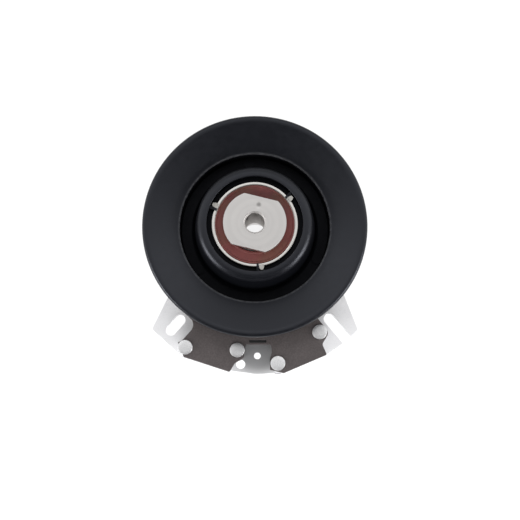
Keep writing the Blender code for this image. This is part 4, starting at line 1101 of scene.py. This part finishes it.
def shelf_outline():
    """Plan of the shelf round the rotor: two ears, the open slot and a notch on each side of the neck."""
    inner = rotor_radius + WALL_CLEARANCE + 0.0010
    left_top = math.radians(218.5)
    right_top = math.radians(-34.5)
    relief = NECK_HALF + 0.0040
    dip = math.asin(relief / inner)
    slit_low = wall_y - 2 * BEND_RADIUS - BRACKET_THICKNESS - 0.0010
    slit_high = slit_low + 0.0020
    reach = 0.0199
    x, y, turn = RIGHT_SLOT
    slot_end = arc(*below_wall(x, y), SLOT_RADIUS, turn - QUARTER, turn - 3 * QUARTER)
    corners = all_below_wall(
        (-0.0754, -0.0031, 0.0015),
        (-0.0521, -0.0240, 0.0010),
        (-0.0188, -0.0334, 0.0040),
        (0.0017, -0.0362, 0.0300),
        (0.0206, -0.0348, 0.0030),
        (0.0525, -0.0216, 0.0010),
        (0.0633, -0.0142, 0.0006),
    )
    corners.append(beside(RIGHT_SLOT, reach, -SLOT_RADIUS, 0.0004))
    corners += [(x, y, 0.0) for x, y in slot_end]
    corners.append(beside(RIGHT_SLOT, reach, SLOT_RADIUS, 0.0004))
    corners += all_below_wall((0.0754, -0.0035, 0.0015), (0.0626, 0.0295, 0.0030))
    corners += [(x, y, 0.0) for x, y in arc(0, axis_y, inner, right_top, -QUARTER + dip)]
    corners += [
        (relief, slit_low, 0.0012),
        (NECK_HALF, slit_low, 0.0),
        (NECK_HALF, slit_high, 0.0),
        (-NECK_HALF, slit_high, 0.0),
        (-NECK_HALF, slit_low, 0.0),
        (-relief, slit_low, 0.0012),
    ]
    corners += [(x, y, 0.0) for x, y in arc(0, axis_y, inner, -QUARTER - dip, left_top - 2 * math.pi)]
    corners.append(below_wall(-0.0615, 0.0253, 0.0030))
    return filleted(corners)


def bracket_rivet_holes():
    places = [middle(f"bracket_rivet_{k}") for k in (1, 2, 3, 4)]
    return [circle(place.x, place.y, SPACER_BORE) for place in places]


def make_bracket():
    """The folded bracket: shelf with ears, neck with two bends, and the ring under the field."""
    low, high = heights("bracket")
    thickness = BRACKET_THICKNESS
    bend = BEND_RADIUS
    shelf = high - thickness
    bracket = prism("bracket_sheet", [shelf_outline()], shelf, high, "zinc")
    rear_y = wall_y + bend
    front_y = wall_y - thickness - bend
    tail = front_y - 0.0030
    start = axis_y - field_radius / 2
    section = [(start, low)]
    section += arc(rear_y, low + thickness + bend, bend + thickness, -QUARTER, -math.pi)
    section += arc(front_y, shelf - bend, bend, 0, QUARTER)
    section += [(tail, shelf), (tail, high)]
    section += arc(front_y, shelf - bend, bend + thickness, QUARTER, 0)
    section += arc(rear_y, low + thickness + bend, bend, math.pi, 3 * QUARTER)
    section.append((start, low + thickness))
    bm = bmesh.new()
    sweep(bm, [(-NECK_HALF, y, z) for y, z in section], (2 * NECK_HALF, 0, 0))
    combine(bracket, made_from("neck_sheet", bm), "UNION")
    rim = field_radius - 0.0040
    opening = 0.0287
    ring = [(opening, low), (rim, low), (rim, low + thickness), (opening, low + thickness)]
    combine(bracket, spun("base_ring", ring, steps=RING_STEPS), "UNION")
    cut_through(bracket, [circle(0, axis_y, opening)], low, low + thickness)
    holes = [
        round_ended(*beside(LEFT_SLOT, 0.0, 0.0), *beside(LEFT_SLOT, SLOT_LENGTH, 0.0), SLOT_RADIUS),
        circle(*below_wall(0.0018, -0.0228), 0.0025),
        circle(*below_wall(-0.0104, -0.0290), 0.0034),
        *bracket_rivet_holes(),
    ]
    cut_through(bracket, holes, shelf, high)
    show(soften(bracket, PLATE_EDGE), "field", "zinc", "bracket")


def brake_outline():
    """Plan of the brake plate: an arc over the armature's rim, and two wings with a gap between them."""
    inner = armature_radius - 0.0075
    low = math.radians(-90 - 37)
    high = math.radians(-90 + 37)
    corners = all_below_wall(
        (-0.0500, 0.0080, 0.0),
        (-0.0560, -0.0140, 0.0),
        (-0.0513, -0.0257, 0.0010),
        (-0.0187, -0.0364, 0.0008),
        (-0.0177, -0.0358, 0.0003),
        (-0.0146, -0.0303, 0.0030),
        (-0.0078, -0.0262, 0.0030),
        (-0.0068, -0.0167, 0.0010),
        (0.0119, -0.0167, 0.0020),
        (0.0123, -0.0225, 0.0030),
        (0.0108, -0.0275, 0.0030),
        (0.0110, -0.0350, 0.0003),
        (0.0209, -0.0374, 0.0010),
        (0.0519, -0.0241, 0.0008),
        (0.0486, -0.0164, 0.0030),
        (0.0536, -0.0084, 0.0040),
        (0.0460, 0.0016, 0.0040),
    )
    corners = [(*polar(inner, low), 0.0), *corners, (*polar(inner, high), 0.0)]
    return filleted(corners) + arc(0, axis_y, inner, high, low)[1:-1]


def make_brake():
    """The brake plate with its scoop round the left slot, its slit and its rivet holes, and the spacers."""
    low, high = heights("brake_plate")
    plate = prism("brake_sheet", [brake_outline()], low, high, "brake_steel")
    scoop = [
        beside(LEFT_SLOT, -0.0045, 0.0133, 0.0065),
        beside(LEFT_SLOT, -0.0045, -0.0090, 0.0),
        beside(LEFT_SLOT, 0.0170, -0.0090, 0.0),
        beside(LEFT_SLOT, 0.0170, 0.0133, 0.0065),
    ]
    cut_through(plate, [filleted(scoop)], low, high)
    slit = rectangle(*below_wall(-0.0041, -0.0155), *below_wall(0.0083, -0.0133))
    cut_through(plate, [slit, *bracket_rivet_holes()], low, high)
    show(soften(plate, PLATE_EDGE), "field", "brake_steel", "brake_plate")
    for k in (1, 2, 3, 4):
        node = f"brake_spacer_{k}"
        place = middle(node)
        low, high = heights(node)
        corners = tube(SPACER_BORE, SPACER_RADIUS, low, high, 0.0003, 0.0004)
        spacer = spun(node + "_tube", filleted(corners), "zinc", place.x, place.y)
        show(spacer, "field", "zinc", node)


make_pulley()
make_rivets()
make_bearing("pulley_bearing", "pulley", "rotor")
make_bearing("field_bearing", "field", "rotor")
make_hub()
make_retaining_ring()
make_rotor()
make_armature()
make_leaf_springs()
make_field_shell()
make_connector()
make_bracket()
make_brake()


# Floor, light and camera

# The studio's brightness by direction, from the front (-1) to the back (1)
STUDIO_LEVELS = ((-0.50, 0.03), (-0.15, 0.22), (0.17, 0.80), (0.45, 1.30), (0.80, 0.60))
WHITE = (1.0, 1.0, 1.0)


def emit_from(nodes, kind, shader):
    """Make the shader the surface of the material or of the world."""
    nodes.feed(nodes.node("Output" + kind).inputs["Surface"], shader)


def make_floor():
    """A white floor: bright for the camera and in reflections, with a soft shadow left on it."""
    material = bpy.data.materials.new("floor")
    nodes = Nodes(material)
    nodes.tree.nodes.clear()
    plain = nodes.output("BsdfDiffuse", (shade(WHITE, 0.80),))
    faint = nodes.output("BsdfDiffuse", (shade(WHITE, 0.20),))
    glow = nodes.output("Emission", (shade(WHITE), 0.86))
    seen = nodes.output("AddShader", (faint, glow))
    rays = nodes.rays("Is Camera Ray", "Is Glossy Ray", "Is Transmission Ray")
    emit_from(nodes, "Material", nodes.output("MixShader", (rays, plain, seen)))
    bm = bmesh.new()
    bmesh.ops.create_grid(bm, x_segments=1, y_segments=1, size=3.0)
    floor = made_from("floor", bm)
    floor.data.materials.append(material)
    floor.location.z = -0.0002


def make_world():
    """A studio that is brightest high up behind the part and dark on the camera's side."""
    world = bpy.data.worlds.new("studio")
    scene.world = world
    nodes = Nodes(world)
    nodes.tree.nodes.clear()
    parts = nodes.node("SeparateXYZ")
    nodes.feed(parts.inputs[0], nodes.node("TexCoord").outputs["Generated"])
    ramp = nodes.node("ValToRGB")
    ramp.color_ramp.interpolation = "EASE"
    nodes.feed(ramp.inputs["Fac"], nodes.output("MapRange", (parts.outputs["Y"], -1.0)))
    brightest = max(level for _, level in STUDIO_LEVELS)
    stops = ramp.color_ramp.elements
    while len(stops) < len(STUDIO_LEVELS):
        stops.new(1.0)
    for stop, (towards_back, level) in zip(stops, STUDIO_LEVELS):
        stop.position = (towards_back + 1) / 2
        stop.color = shade(WHITE, level / brightest)
    studio = nodes.output("Background", (shade(WHITE), nodes.times(ramp.outputs["Color"], brightest)))
    white = nodes.output("Background", (shade(WHITE), 1.0))
    emit_from(nodes, "World", nodes.output("MixShader", (nodes.rays("Is Camera Ray"), studio, white)))


def aimed(name, data, place, aim):
    """A lamp or a camera that looks from its place at a point."""
    added = bpy.data.objects.new(name, data)
    scene.collection.objects.link(added)
    added.location = place
    added.rotation_euler = (Vector(aim) - Vector(place)).to_track_quat("-Z", "Y").to_euler()
    return added


def softbox(name, place, aim, width, height, power, mirrored=True):
    """A lamp with a soft face. One that isn't mirrored only fills the shadows."""
    light = bpy.data.lights.new(name, "AREA")
    light.shape = "RECTANGLE"
    light.size = width
    light.size_y = height
    light.energy = power
    aimed(name, light, place, aim).visible_glossy = mirrored


def make_camera():
    """Above the pulley's face, tilted so that the nose bore shows its far wall."""
    elevation = math.radians(80)
    distance = 1.3
    picture = 520
    pixel = 0.000717
    axis_pixel = (254.8, 225.0)
    back = Vector((0.0, -math.cos(elevation), math.sin(elevation)))
    up = Vector((0.0, math.sin(elevation), math.cos(elevation)))
    aim = Vector(((picture / 2 - axis_pixel[0]) * pixel, axis_y, RIM_FACE))
    aim -= up * (picture / 2 - axis_pixel[1]) * pixel
    data = bpy.data.cameras.new("camera")
    data.sensor_fit = "HORIZONTAL"
    data.sensor_width = 36.0
    data.lens = data.sensor_width * distance / (picture * pixel)
    bpy.context.scene.camera = aimed("camera", data, aim + back * distance, aim)


make_floor()
make_world()
for name, x in (("left_softbox", -0.92), ("right_softbox", 0.92)):
    softbox(name, (x, -0.40, 0.46), (0.0, 0.0, 0.04), 0.50, 0.55, 7.0)
softbox("front_fill", (0.0, -0.80, 0.75), (0.0, -0.05, 0.04), 1.00, 0.60, 12.0, mirrored=False)
make_camera()

scene.view_settings.view_transform = "Standard"
